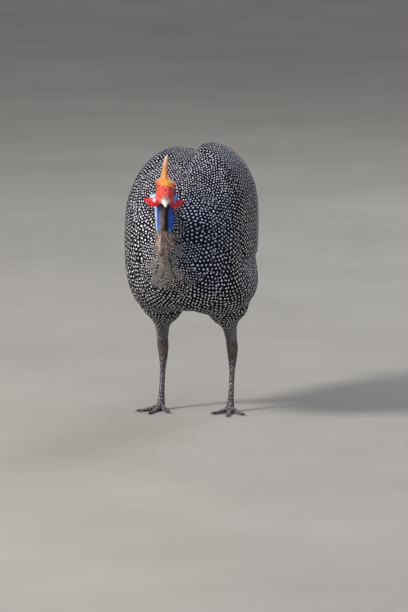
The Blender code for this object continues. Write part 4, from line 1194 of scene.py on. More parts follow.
def make_wing_coat(side, letter):
    rng = np.random.default_rng(23 + side)
    surface = wing_surface(side)
    coat = Coat()
    shares_fine = np.linspace(0, 1, 60)
    for root, edge_tip, middle_tip, count, style, heights in WING_TIERS:
        at, levels = np.array(heights).T
        for i in range(count):
            share = (i + 0.5) / count
            tip = middle_tip + (edge_tip - middle_tip) * abs(2 * share - 1.06) ** 2.2
            tip += rng.normal(0, 0.008)
            length = (root - tip) * WING_LENGTH
            arc = surface.point(np.full(60, (tip * 0.4 + root * 0.6) * WING_LENGTH), shares_fine)
            width = np.linalg.norm(np.diff(arc, axis=0), axis=1).sum()
            half = width / count * WING_OVERLAP
            vane = long_vane(length, half, rng, style)
            x, y = vane.points.T
            place = root - y / WING_LENGTH
            shares = np.clip(share + x / width, 0.004, 0.996)
            out = x / half
            crown = 0.5 * (1 - out**2) + 0.5 * out
            height = np.interp(place, at, levels) + crown
            height = height - 0.35 * ease(y / length, 0.9, 1.0) - 0.4 * vane.lower
            height -= WING_TOP_SINKS * ease(shares, 0.82, 0.95) * ease(place, 0.42, 0.58)
            points = surface.raised(place * WING_LENGTH, shares, height)
            u, v = np.array([root * WING_LENGTH]), np.array([share])
            sizes = np.array([half]), np.array([length / 2])
            uv = patch_uv(surface, u, v, x[None], y[None] - length / 2, *sizes)
            coat.add_long(vane, points, uv, rng.uniform(0.2, 0.7))
    coat.build("wing_" + letter, "flight_feather", "wing_" + letter)


# The tail's tiers: feathers, length from the root, root's place before the base's end, spread of the
# directions in degrees, half width, height over the tail's middle.
TAIL_TIERS = (
    (14, 82.0, 14.0, 42.0, 8.0, 0.0),
    (8, 56.0, 22.0, 44.0, 8.8, 5.0),
    (7, 46.0, 26.0, 40.0, 8.6, 8.0),
    (6, 44.0, 18.0, 38.0, 8.6, -8.0),
)
TAIL_ROOF = 34.0
TAIL_ROOT_WIDTH = 16.0


def make_tail_coat():
    rng = np.random.default_rng(31)
    row = TUBE.rows[0]
    back, belly = row[0:2], row[2:4]
    facing = (back - belly) / np.linalg.norm(back - belly)
    fall = np.array([0.0, facing[1], -facing[0]])
    up = np.array([0.0, *facing])
    middle = np.array([0.0, *((back + belly) / 2)])
    coat = Coat()
    for count, length, sunk, spread, half, lift in TAIL_TIERS:
        for i in range(count):
            out = i - (count - 1) / 2
            turn = math.radians(spread * out / (count - 1))
            way = fall * math.cos(turn) + ACROSS * math.sin(turn)
            root = middle - fall * sunk + ACROSS * (out * TAIL_ROOT_WIDTH / count)
            reach = length * (1 - 0.22 * (2 * out / count) ** 2) * rng.normal(1.0, 0.015)
            layer = lift - 0.7 * abs(out) - (0.35 if out < 0 else 0.0)
            vane = long_vane(reach, half, rng, "spots", 5.6, 1.35)
            x, y = vane.points.T
            along = y / reach
            lean = math.copysign(0.6, -out if out else 1) * x / half
            drop = -TAIL_ROOF * (out / count) ** 2 * along - 5.0 * along**2
            drop = drop + layer * np.clip(along * 3, 0.35, 1)
            crown = 0.8 * (1 - (x / half) ** 2) - 0.5 * vane.lower
            points = root + way * y[:, None] + np.cross(up, way) * x[:, None]
            points = points + up * (drop + lean + crown)[:, None]
            uv = np.array([0.5 + out * 0.05, 0.1 + lift * 0.005])
            uv = uv + np.stack([x / half, along - 0.5], -1) * PATCH_HALF
            coat.add_long(vane, points, uv[None], rng.uniform(0.1, 0.5))
    coat.build("tail", "flight_feather", "tail")


THIGH_AROUND = 15
THIGH_COAT_END = 0.87
THIGH_NARROWEST = 4.4


def make_thigh_coat(side, letter):
    """Small spotted feathers down the thigh, browner towards the down above the hock."""
    rng = np.random.default_rng(41 + side)
    surface = thigh_surface(side)
    share, row, found = 0.02, 0, []
    while share < THIGH_COAT_END:
        u = share * THIGH_LENGTH
        angles = (np.arange(THIGH_AROUND) + 0.5 * (row % 2)) / THIGH_AROUND * 2 * math.pi
        ring = surface.point(np.full(61, u), np.linspace(0, 2 * math.pi, 61))
        wide = max(np.linalg.norm(np.diff(ring, axis=0), axis=1).sum() / THIGH_AROUND, THIGH_NARROWEST)
        along, _, _ = surface.slopes(np.array([u]), np.array([0.0]))
        found += [(u, a, wide, ROW_STEP * wide, row % 2) for a in angles]
        share += ROW_STEP * wide / np.linalg.norm(along) / THIGH_LENGTH
        row += 1
    u, v, wide, long, odd = np.array(found).T

    def warm(at_u, at_v):
        return 0.6 * ease(at_u, 74.0, 90.0)

    coat = Coat()
    styles, tone = np.full(len(u), "spots"), np.full(len(u), 0.2)
    lay_body_feathers(coat, surface, rng, u, v, wide, long, odd, styles, warm, tone)
    coat.build("thigh_" + letter, "plumage", "thigh_" + letter)


HAIR_STATIONS = 5
HAIR_SIZES = np.array([0.7, 1.0, 0.85, 0.55, 0.12])
HAIR_CORNERS = np.array([(-1.0, 0.0), (1.0, 0.0), (0.0, 0.55)])


def draw(rng, values, count):
    """Random numbers: between two values, or out of several."""
    return rng.choice(values, count) if len(values) > 2 else rng.uniform(*values, count)


def lay_hairs(surface, rng, u, v, length, thick, rise, tips, tone, warm, curl=1.0, yaw_spread=0.2):
    """Fine tapered hair-feathers: a bent three-sided blade each, with its tip raised by tips times curl."""
    count = len(u)
    thick, rise, tips, tone = (draw(rng, values, count) for values in (thick, rise, tips, tone))
    t = np.linspace(0, 1, HAIR_STATIONS)
    bend = rng.normal(0, 0.12, count)[:, None] * t**2 * length[:, None]
    lifted = rise[:, None] + (tips * curl)[:, None] * t**1.4
    blade = thick[:, None, None] * HAIR_SIZES[:, None]
    size = HAIR_STATIONS * 3
    x = (bend[:, :, None] + blade * HAIR_CORNERS[:, 0]).reshape(count, size)
    y = np.repeat(length[:, None] * t, 3, axis=1)
    height = (lifted[:, :, None] + blade * HAIR_CORNERS[:, 1]).reshape(count, size)
    points, _, _ = surface.spread(u, v, rng.normal(0, yaw_spread, count), x, y, height)
    last = size - 3
    faces = np.concatenate([grid_faces(HAIR_STATIONS, 3), [[2, 1, 0], [last, last + 1, last + 2]]])
    faces = faces[None] + (np.arange(count) * size)[:, None, None]
    uv = patch_uv(surface, u, v, x, y - length[:, None] / 2, thick * 3, length)
    shares = np.repeat(tone, size), np.repeat(warm, size)
    return points.reshape(-1, 3), faces.reshape(-1, 3), uv.reshape(-1, 2), *shares


def build_hairs(name, slot, layers):
    points, faces = join_shells([layer[:2] for layer in layers])
    uv, tone, warm = (np.concatenate([layer[k] for layer in layers]) for k in (2, 3, 4))
    build_mesh(name, points, faces, "down", slot, (), uv, 60, tone=tone, warm=warm)


def bare_from(angle):
    """The s at which the neck's feathers end and its bare skin starts: a level line, seen from in front."""
    up = np.sin(angle)
    return 351.0 + 18.0 * np.clip(-up, 0, 1) - 4.0 * np.clip(up, 0, 1)


def make_neck_hairs():
    """The grey-brown hackles of the lower neck, and the thin hairs on the bare skin above them."""
    rng = np.random.default_rng(53)
    count = 3600
    angle = -math.pi / 2 + 1.65 * rng.uniform(-1, 1, count)
    low = np.clip(-np.sin(angle), 0, 1)
    s = bare_from(angle) + 2.0 - (5.0 + 17.0 * low) * rng.uniform(0, 1, count)
    length = rng.uniform(4.0, 6.0, count) + rng.uniform(1.0, 5.0, count) * low
    collar = lay_hairs(
        BODY, rng, s, angle, length, (0.2, 0.42), (-0.9, 0.1), (0.0, 0.7), (0, 1), 0.25 + 0.75 * low
    )
    count = 520
    angle = -math.pi / 2 + rng.normal(0, 0.75, count)
    low = np.clip(-np.sin(angle), 0, 1)
    s = bare_from(angle) - rng.uniform(-1.0, 9.0, count) * (0.3 + 0.7 * low)
    length = rng.uniform(10.0, 26.0, count) * (0.4 + 0.6 * low)
    strands = lay_hairs(
        BODY, rng, s, angle, length, (0.3, 0.6), (0.1, 0.7), (0.0, 1.4), (0.05, 0.3, 0.7, 1.0),
        0.55 + 0.45 * low, yaw_spread=0.12,
    )
    build_hairs("collar_hackles", "collar_down", [collar, strands])
    layers = []
    for count, middle, wide, start, end, curl in (
        (900, math.pi / 2, 0.45, 344.0, 410.0, 2.2),
        (170, -math.pi / 2, 0.2, 366.0, 398.0, 0.6),
    ):
        s = rng.uniform(start, end, count)
        angle = rng.normal(middle, wide, count)
        length = rng.uniform(6.0, 11.0, count)
        # The throat's hairs go near-black to the bird's left of its middle: painted shadow. The nape's hairs
        # are dark all over.
        warm = np.where(angle > middle + 0.3, 0.05, 0.9) if middle < 0 else np.full(count, 0.1)
        layers.append(
            lay_hairs(
                BODY, rng, s, angle, length, (0.09, 0.2), (-0.2, 0.15), (0.2, 1.0), (0.2, 0.9),
                warm, curl, 0.1,
            )
        )
    build_hairs("neck_hairs", "collar_down", layers)


def make_leg_down():
    """Short brown down between the last spotted feathers and the scaled hock."""
    rng = np.random.default_rng(59)
    count, layers = 700, []
    for side, _ in SIDES:
        u = np.clip(rng.normal(88.5, 4.5, count), 76.0, 97.0)
        v, length = rng.uniform(-math.pi, math.pi, count), rng.uniform(4.0, 7.0, count)
        layers.append(
            lay_hairs(
                thigh_surface(side), rng, u, v, length, (0.16, 0.3), (0.3, 1.0), (0.1, 0.8), (0.0, 0.75),
                np.full(count, 0.9),
            )
        )
    build_hairs("leg_down", "plumage", layers)


# Skin

# Where the head's and the torso's shells overlap, as s, how deep the skin lies under the plumage, and the
# sizes of the fused skins' faces.
HEAD_SKIN_START = 338.0
TORSO_SKIN_END = 346.0
COAT_DEPTH = 3.4
THIGH_COAT_DEPTH = 1.8
HEAD_FACE_SIZE = 0.5
FOOT_FACE_SIZE = 0.55


def ellipsoid(centre, radii, rings, around):
    heights = np.linspace(-math.pi / 2, math.pi / 2, rings + 2)[1:-1]
    h, a = np.meshgrid(heights, ring_angles(around), indexing="ij")
    points = np.stack([np.cos(h) * np.cos(a), np.cos(h) * np.sin(a), np.sin(h)], -1) * radii
    return points + np.asarray(centre)


# A wattle's stations from its root to its pointed tip: how far out, top z, bottom z, half thickness.
WATTLE_STATIONS = (
    (5.5, 315.5, 309.5, 2.4),
    (10.0, 315.2, 305.4, 2.1),
    (14.0, 314.8, 304.0, 1.8),
    (18.0, 314.6, 304.8, 1.5),
    (22.0, 314.4, 307.2, 1.3),
    (25.5, 314.2, 310.2, 1.0),
    (27.8, 313.8, 312.4, 0.6),
)
WATTLE_ROOT_Y = -201.5


def wattle_rings(side, steps=60, around=44):
    """Rings along a wattle, which sweeps back as it goes out and has a slightly wavy lower edge."""
    rows = along_stations(WATTLE_STATIONS, np.linspace(0, 1, steps))
    angles = ring_angles(around)
    out, top, bottom, thick = (rows[:, i : i + 1] for i in range(4))
    run = out - WATTLE_STATIONS[0][0]
    low = ease(-np.sin(angles), -0.2, 1.0)
    wave = 0.8 * np.sin(out * 0.8 + side) * low
    rings = np.empty((steps, around, 3))
    rings[..., 0] = side * (out - 0.5 * thick * np.cos(angles))
    rings[..., 1] = WATTLE_ROOT_Y + 0.5 * run + 0.012 * run**2 + thick * np.cos(angles) + wave
    rings[..., 2] = (top + bottom) / 2 + (top - bottom) / 2 * np.sin(angles)
    return turn_head(rings)


# The head's lumps on its left side: middle and radii of the eye's bulge, the wattle's root, the cheek's
# two, and its three folds.
HEAD_LUMPS = (
    (EYE_PLACE, (6.0, 6.4, 6.0)),
    ((7.4, -202.5, 315.0), (3.4, 7.0, 4.0)),
    ((12.4, -190.0, 317.2), (5.4, 7.5, 3.8)),
    ((15.2, -192.0, 315.6), (3.6, 4.0, 2.6)),
    ((12.4, -193.0, 320.2), (1.3, 2.6, 3.4)),
    ((14.9, -192.5, 319.3), (1.2, 2.6, 3.2)),
    ((17.4, -192.5, 317.6), (1.1, 2.4, 2.6)),
)


def head_shells():
    s, angle = ring_grid(HEAD_SKIN_START, TUBE_LENGTH, 120, 90)
    sunk = -1.2 * (1 - ease(s - bare_from(angle), -1.0, 4.0))
    shells = [tube_shell(BODY.raised(s, angle, sunk))]
    for side, _ in SIDES:
        shells.append(tube_shell(wattle_rings(side)))
        for centre, radii in HEAD_LUMPS:
            shells.append(tube_shell(turn_head(ellipsoid(np.array(centre) * [side, 1, 1], radii, 16, 24))))
    return shells


def body_places_of(points):
    """The nearest places (s, angle) on the head and neck for points."""
    s, angle = ring_grid(HEAD_SKIN_START - 2.0, TUBE_LENGTH, 150, 96)
    rings = BODY.point(s, angle)
    tree = kdtree.KDTree(rings.size // 3)
    for i, p in enumerate(rings.reshape(-1, 3)):
        tree.insert(p, i)
    tree.balance()
    found = [tree.find(p) for p in points]
    index = np.array([f[1] for f in found])
    return s.ravel()[index], angle.ravel()[index], np.array([f[2] for f in found])


def ear_distance(own):
    return np.linalg.norm(own[:, 1:] - np.array(EAR_PLACE)[1:], axis=1)


# Places along the neck, as s: where it runs out under the head, and where the face's own colours start.
NECK_FADES = (402.0, 412.0)
FACE_STARTS = (404.0, 412.0)
FOLD_LENGTH = 3.4


def shape_head(points, normals, s, angle, off):
    """Lids, ears, the mouth's corners, folds and grain, as shifts of the skin's points."""
    own = unpose_tube(points, s)
    x, y, z = np.abs(own[:, 0]), own[:, 1], own[:, 2]
    ear = ear_distance(own)
    push = ease(x, 8.0, 10.5) * (0.7 * bell(ear, 3.0, 1.0) - 2.2 * (1 - ease(ear, 1.2, 2.3)))
    mouth = bell(z, 314.3 + 0.10 * (y + 209.0), 0.55) * ease(-y, 200.5, 204.0) * ease(x, 5.0, 7.5)
    push -= 1.1 * mouth * (1 - ease(off, 1.5, 3.0))
    bare = ease(s - bare_from(angle), 0.0, 6.0) * (1 - ease(s, *NECK_FADES))
    bare = bare * (1 - 0.7 * ease(-np.sin(angle), 0.7, 0.9))
    push += 0.32 * bare * np.sin(s * 2 * math.pi / FOLD_LENGTH + 2.2 * noise_at(points, 7.0, 3.0))
    push += 0.16 * noise_at(points, 3.2, 5.0) + 0.10 * noise_at(points, 1.3, 9.0)
    red = ease(z, 318.0, 326.0) * ease(-y, 196.0, 203.0)
    push += 0.30 * red * np.abs(noise_at(points, 2.0, 13.0))
    moved = points + normals * push[:, None]
    flat, ahead = eye_opening(own)
    for side, _ in SIDES:
        way = moved - eye_centre(side)
        distance = np.linalg.norm(way, axis=1)
        lid = EYE_RADIUS + 0.4 + 0.45 * bell(flat, 1.14, 0.12) + 0.25 * bell(flat, 1.45, 0.1)
        target = np.where(flat < 1.0, EYE_RADIUS - 0.8, np.maximum(distance, lid))
        near = (np.sign(own[:, 0]) == side) & ahead & (flat < 1.6) & (distance < 8.0)
        lidded = eye_centre(side) + way * (target / np.maximum(distance, 1e-6))[:, None]
        moved = np.where(near[:, None], lidded, moved)
    return moved, own


# How far an eye's opening is turned forwards from facing sideways, and its half length and half height,
# as sines of the angles at the eye's middle.
EYE_FACES = math.radians(28.0)
OPENING_SIZE = (0.84, 0.74)


def eye_opening(own):
    """How far points are from the middle of an eye's opening, 1 at its edge, and which are before it."""
    way = np.column_stack([np.abs(own[:, 0]), own[:, 1:]]) - EYE_PLACE
    way /= np.maximum(np.linalg.norm(way, axis=1), 1e-6)[:, None]
    cos, sin = math.cos(EYE_FACES), math.sin(EYE_FACES)
    ahead = way[:, 0] * cos - way[:, 1] * sin
    along = way[:, 0] * sin + way[:, 1] * cos
    return np.hypot(along / OPENING_SIZE[0], way[:, 2] / OPENING_SIZE[1]), ahead > 0


def laid(shade, layers):
    """A colour with others laid over it in turn, each by its share at every point."""
    for tint, share in layers:
        share = share[:, None]
        shade = np.asarray(shade) * (1 - share) + np.asarray(tint) * share
    return shade


def paint_head(own, s, angle, off):
    """The skin's colours: red face and wattles, pale cheeks, blue neck, grey throat with a painted shadow
    beside it.
    """
    x, y, z = np.abs(own[:, 0]), own[:, 1], own[:, 2]
    wobble, patchy = noise_at(own, 4.0, 21.0), noise_at(own, 2.2, 33.0)
    low_end = 1 - ease(s - bare_from(angle) + 2.5 * wobble, 2.0, 8.0)
    neck = 1 - ease(s, *FACE_STARTS)
    throat = ease(-np.sin(angle - 0.03), 0.90, 0.975) * neck
    # Painted shadow: a dark band down the neck, just to the bird's left of the throat's middle.
    throat_shadow = ease(np.cos(angle + math.pi / 2 - 0.56), 0.945, 0.975) * neck
    nape = ease(np.sin(angle), 0.72, 0.95) * (1 - ease(s, *NECK_FADES))
    cheek = ease(s + 2.0 * wobble, *FACE_STARTS)
    # Pale patches on the cheeks, with more of them on the bird's right side: that lean is painted light,
    # where the key light falls.
    pale = ease(patchy + 0.5 * wobble - 0.25 * np.sign(own[:, 0]), -0.25, 0.25)
    cheek_top = cheek * ease(z, 325.5, 328.0) * ease(x, 6.0, 9.0)
    crown = ease(z + 0.8 * wobble, 329.5, 332.0) * ease(-y, 172.0, 178.0)
    crown = crown * (1 - ease(x + 0.5 * wobble, 9.0, 10.5))
    lore = ease(-y + wobble, 196.5, 199.5) * ease(z + 0.18 * (y + 200), 312.0, 315.5)
    signed = own[:, 0] + 1.2 * wobble
    corner = bell(z, 313.5, 3.0) * ease(-y, 200.0, 204.0) * ease(x, 3.5, 5.5)
    # Painted shadow under the bill.
    chin_shadow = (1 - ease(z, 308.0, 311.5)) * ease(-y, 178.0, 186.0) * (1 - ease(x, 7.0, 9.0))
    lobe = ease(off, 0.7, 1.8) * ease(x, 6.0, 8.0) * (1 - ease(z + 0.5 * wobble, 315.0, 316.2))
    fleck = lobe * bell(x, 13.5, 1.8) * ease(z, 308.5, 312.5)
    flat, ahead = eye_opening(own)
    near_eye = ahead * (1 - ease(np.linalg.norm(np.abs(own) - np.abs(EYE_PLACE), axis=1), 7.5, 8.5))
    layers = (
        (SKIN_TURQUOISE, 0.75 * low_end),
        (SKIN_TURQUOISE, 0.35 * ease(patchy, 0.1, 0.6)),
        # Painted light: the neck paler in patches on the bird's right side, which faces the key light.
        (SKIN_PALE, 0.85 * ease(-np.cos(angle), 0.5, 0.8) * ease(patchy, -0.5, 0.1)),
        (THROAT, throat),
        (THROAT_SHADOW, throat_shadow),
        (NAPE_BLUE, nape * 0.7),
        (CHEEK_BLUE, cheek),
        (SKIN_PALE, cheek * pale * ease(-y, 176.0, 184.0)),
        (CHEEK_DARK, 0.8 * cheek_top),
        (SKIN_RED, np.maximum(crown, lore)),
        (SKIN_ORANGE, 0.6 * crown * ease(z, 334.0, 338.0)),
        # Painted light and shade across the red face: orange on the bird's right side, which faces the key
        # light, a painted pink highlight in the middle, and deeper crimson on the shaded left side.
        (FACE_LIT_ORANGE, 0.7 * lore * (1 - ease(signed, -6.5, -3.0))),
        (FACE_HIGHLIGHT_PINK, 0.8 * lore * bell(signed, 0.5, 5.5) * ease(patchy, -0.35, 0.15)),
        (FACE_SHADED_CRIMSON, 0.6 * lore * ease(signed, 5.0, 8.0)),
        (MOUTH_ORANGE, 0.85 * corner),
        (CHIN_SHADOW, chin_shadow),
        (SKIN_RED, lobe),
        # The streak across each wattle: pale on the bird's right side, which faces the key light, and blue
        # on the other side; the difference is painted light and shade.
        (np.where(own[:, :1] < 0, SKIN_PALE, CHEEK_BLUE), ease(fleck, 0.3, 0.7) * 0.95),
        (LID_DARK, bell(flat, 1.0, 0.22) * near_eye * 0.9),
        # Painted shade in the ear opening.
        (EAR_HOLE_SHADE, (1 - ease(ear_distance(own), 1.4, 2.4)) * ease(x, 8.0, 10.0)),
    )
    shade = laid(SKIN_BLUE, layers)
    shade[:, 3] = 1.0
    return shade


def cell_edges(a, b, wide, high):
    """How far points are from the edge of their cell, in staggered rows of cells."""
    row = np.floor(b / high)
    first, second = np.full(a.shape, 1e9), np.full(a.shape, 1e9)
    for up in (-1, 0, 1):
        here = row + up
        shift = 0.5 * (here % 2)
        column = np.floor(a / wide - shift)
        for out in (-1, 0, 1):
            gap = np.hypot(a - (column + out + 0.5 + shift) * wide, b - (here + 0.5) * high)
            second = np.where(gap < first, first, np.minimum(second, gap))
            first = np.minimum(first, gap)
    return second - first


# Toes: name, direction in degrees from straight ahead, length, half width and height at the root.
TOES = (
    ("inner", -34.0, 33.0, 3.6, 7.0),
    ("middle", 2.0, 45.0, 3.9, 7.5),
    ("outer", 34.0, 36.0, 3.5, 7.0),
    ("hind", 172.0, 14.0, 2.9, 9.0),
)
TOES_TURNED_OUT = 5.0
CLAW_LENGTH = 9.0
CLAW_TIP = 0.12
FOOT_HEIGHT = HOCK_HEIGHT - 61
TOE_TIP_HEIGHT = 1.8
TOE_TIP_HALF = 2.3
HOCK_SLEEVE = 0.76
LEG_AROUND = 32

# The shank's scales: its radius, the width and height of the plates in front and of the grains behind,
# and the length of a toe's rings.
SHANK_RADIUS = 4.6
PLATE_SIZE = (4.4, 4.6)
GRAIN_SIZE = (2.0, 1.9)
TOE_RING_LENGTH = 2.7


def toe_line(side, degrees, length, root_height, steps):
    """Centres along a toe and the way that it points."""
    turn = math.radians((degrees + TOES_TURNED_OUT) * side)
    ahead = np.array([math.sin(turn), -math.cos(turn), 0.0])
    root = np.array([leg_x(side), SHANK_STATIONS[-1][0] - 2.0, 0.0])
    centres = root + ahead * (steps * length)[:, None]
    centres[:, 2] = TOE_TIP_HEIGHT + (root_height - TOE_TIP_HEIGHT) * np.clip(1 - steps, 0, 1) ** 2.2
    return centres, ahead


def level_pipe(centres, ahead, half_widths, half_heights, around):
    """Rings about a path that runs nearly level, each upright and square to its way."""
    side = np.cross(ahead, UP)
    angles = ring_angles(around)
    rings = centres[:, None] + half_widths[:, None, None] * np.cos(angles)[None, :, None] * side
    rings[..., 2] += half_heights[:, None] * np.sin(angles)
    return rings


def foot_shells(side):
    """A foot's shells: shank, hock sleeve, hub and toes."""
    root_y = SHANK_STATIONS[-1][0] - 1.0
    hub = (
        (root_y, FOOT_HEIGHT + 1.0, 4.6, 5.4, 0),
        (root_y - 1, 8.0, 5.4, 6.6, 0),
        (root_y - 1.5, 0.0, 4.4, 5.6, 0),
    )
    shells = []
    for stations, start, steps in ((SHANK_STATIONS, 0, 50), (THIGH_STATIONS, HOCK_SLEEVE, 14), (hub, 0, 10)):
        t, a = ring_grid(start, 1, steps, LEG_AROUND)
        thinner = 0.6 * (1 - t) / (1 - HOCK_SLEEVE) + 0.1 if start else 0.0
        shells.append(tube_shell(leg_points(stations, side, t, a, thinner)))
    steps = np.linspace(0, 1.04, 40)
    for _, degrees, length, half, root_height in TOES:
        centres, ahead = toe_line(side, degrees, length, root_height, steps)
        widths = (half + (TOE_TIP_HALF - half) * steps) * (1 + 0.10 * np.cos(steps * math.pi * 6))
        widths *= np.sqrt(np.clip((1.06 - steps) / 0.06, 0.15, 1))
        shells.append(tube_shell(level_pipe(centres, ahead, widths, widths * 0.95, 24)))
    return shells


def shape_foot(points, normals, side):
    """Scutes on the shank and toes, and flat soles."""
    rows = np.array(SHANK_STATIONS, float)
    z = points[:, 2]
    centre_y = np.interp(z, rows[::-1, 1], rows[::-1, 0])
    dx, dy = points[:, 0] - leg_x(side), points[:, 1] - centre_y
    angle = np.arctan2(dx, -dy)
    arc = angle * SHANK_RADIUS
    plates = cell_edges(arc + PLATE_SIZE[0] / 2, z, *PLATE_SIZE)
    grains = cell_edges(arc, z, *GRAIN_SIZE)
    in_front = 1 - ease(np.abs(angle), 1.0, 1.25)
    edge = np.where(in_front > 0.5, plates, grains)
    on_shank = ease(z, 11.0, 14.0) * (1 - ease(z, HOCK_HEIGHT + 1, HOCK_HEIGHT + 5))
    push = on_shank * (0.5 * ease(edge, 0.0, 1.0) - 0.34)
    best = np.full(len(points), 1e9)
    bands = np.zeros(len(points))
    for _, degrees, length, _, root_height in TOES:
        centres, ahead = toe_line(side, degrees, length, root_height, np.array([0.0, 1.0]))
        rel = points - centres[0]
        along = rel @ ahead
        off = np.abs(rel @ np.cross(ahead, UP)) + np.where(along < -1, 1e3, 0)
        mine = off < best
        wave = np.abs(((along / TOE_RING_LENGTH) % 1.0) - 0.5) * 2
        bands = np.where(mine, 1 - ease(wave, 0.0, 0.3), bands)
        best = np.minimum(best, off)
    on_toe = (1 - ease(z, 11.0, 14.0)) * ease(normals[:, 2], 0.0, 0.35)
    push -= 0.26 * on_toe * bands
    pads = (1 - ease(z, 3.0, 5.0)) * ease(-normals[:, 2], 0.2, 0.6)
    push += 0.12 * pads * noise_at(points, 1.4, 2.0)
    points = points + normals * push[:, None]
    points[:, 2] = np.maximum(points[:, 2], 0.0)
    groove = np.maximum(on_shank * (1 - ease(edge, 0.0, 0.5)), on_toe * bands)
    return points, groove


def make_skin():
    """The skin as one piece. Its shells, of the head, torso, thighs and feet, meet under the plumage."""
    shells, shades, plumed = [], [], []

    def add(shell, shade, feathered):
        shells.append(shell)
        shades.append(np.broadcast_to(shade, (len(shell[0]), 4)))
        plumed.append(np.full(len(shell[0]), feathered))

    points, faces = fuse(head_shells(), HEAD_FACE_SIZE, 3)
    s, angle, off = body_places_of(points)
    moved, own = shape_head(points, point_normals(points, faces), s, angle, off)
    add((moved, faces), paint_head(own, s, angle, off), 0.0)
    s, angle = ring_grid(2.0, TORSO_SKIN_END, 110, 96)
    add(tube_shell(BODY.raised(s, angle, -COAT_DEPTH)), SLATE, 1.0)
    for side, _ in SIDES:
        t, a = ring_grid(0, 0.9, 30, LEG_AROUND)
        add(tube_shell(leg_points(THIGH_STATIONS, side, t, a, THIGH_COAT_DEPTH)), SLATE, 1.0)
        points, faces = fuse(foot_shells(side), FOOT_FACE_SIZE, 2)
        points, groove = shape_foot(points, point_normals(points, faces), side)
        layers = (
            # Painted highlights: pale flecks on the scales.
            (SCALE_HIGHLIGHT, 0.7 * ease(noise_at(points, 1.5, 17.0), 0.1, 0.3)),
            (SCALE_GROOVE, groove * 0.85),
            (HOCK_BROWN, ease(points[:, 2], HOCK_HEIGHT - 12, HOCK_HEIGHT) * 0.6),
        )
        add((points, faces), laid(LEG_SKIN, layers), 0.0)
    points, faces = join_shells(shells)
    flesh = [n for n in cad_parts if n.startswith(("torso", "neck", "head", "wattle", "shank", "foot"))]
    plumed, tint = np.concatenate(plumed), np.concatenate(shades)
    build_mesh("skin", points, faces, "skin", "red_skin", flesh, plumed=plumed, tint=tint)


# Horn and eyes

# The casque's sections: height over its base, half width, half length, middle's y.
CASQUE_LEVELS = (
    (-9.0, 9.6, 13.0, -190.0),
    (-6.0, 11.2, 15.6, -189.9),
    (-4.0, 12.1, 16.7, -189.8),
    (-1.6, 13.0, 16.2, -189.6),
    (0.4, 13.2, 15.0, -189.3),
    (2.2, 8.6, 13.7, -188.9),
    (4.6, 5.3, 12.1, -188.5),
    (8.0, 4.4, 10.4, -187.6),
    (14.0, 3.7, 8.6, -186.2),
    (22.0, 3.1, 6.6, -184.6),
    (26.5, 2.7, 4.8, -183.4),
    (31.0, 2.1, 3.2, -182.6),
    (33.5, 1.1, 1.5, -182.2),
)
CASQUE_SADDLE = 2.2
CASQUE_LEAN = 1.4
CASQUE_BASE = 338.5


def make_casque():
    heights, widths, lengths, middles = np.array(CASQUE_LEVELS).T
    levels = np.concatenate([np.linspace(heights[0], 9.0, 40), np.linspace(9.4, heights[-1], 56)])
    rows = smooth_rows(heights, np.stack([widths, lengths, middles], 1), levels)
    angles = ring_angles(80)
    ridges = 1 + 0.035 * np.sin(angles * 9 + 0.8) * np.cos(angles * 4)
    rings = np.empty((len(levels), len(angles), 3))
    rings[..., 0] = rows[:, :1] * np.cos(angles) * ridges
    rings[..., 1] = rows[:, 2:3] + rows[:, 1:2] * np.sin(angles) * ridges
    rings[..., 0] -= CASQUE_LEAN * between(levels, (1.0, 7.0), (10.0, 34.0))[:, None]
    saddle = -CASQUE_SADDLE * np.clip(1 - levels / 6.0, 0, 1)[:, None] * np.cos(angles) ** 2
    rings[..., 2] = CASQUE_BASE + levels[:, None] + saddle
    points, faces = tube_shell(rings)
    skirt = 1 - ease(points[:, 2], CASQUE_BASE - 3.0, CASQUE_BASE)
    push = 0.42 * noise_at(points * [1.0, 1.0, 0.28], 1.9, 4.0) + 0.2 * noise_at(points, 1.1, 6.0)
    push = push + 1.1 * skirt * noise_at(points, 1.7, 14.0)
    points = turn_head(points + point_normals(points, faces) * push[:, None])
    out = np.concatenate([(rings[..., 0] / 13.4 - 0.12).ravel(), [0.0, 0.0]])
    build_mesh("casque_horn", points, faces, "horn", "casque", ("casque",), out=out)


# Sections of the bill's halves: y, top z, bottom z, half width.
UPPER_BILL = (
    (-208.0, 328.0, 315.2, 5.8),
    (-216.0, 323.7, 314.5, 5.0),
    (-222.0, 319.4, 313.2, 3.9),
    (-227.0, 313.8, 310.6, 2.3),
    (-229.5, 309.4, 308.0, 1.0),
)
LOWER_BILL = (
    (-207.0, 314.4, 309.1, 5.2),
    (-216.0, 314.0, 308.9, 4.2),
    (-221.0, 312.8, 308.9, 3.1),
    (-224.5, 310.6, 308.6, 1.7),
)
NOSTRIL_PLACE = (4.0, -215.0, 320.8)
NOSTRIL_SIZE = (2.4, 2.6, 1.1)

# The bill's colours run down from this height, and over this length, to its tip.
BILL_COLOUR_TOP = 327.5
BILL_COLOUR_LENGTH = 19.5
IRIS_SIZE = (3.9, 3.4)


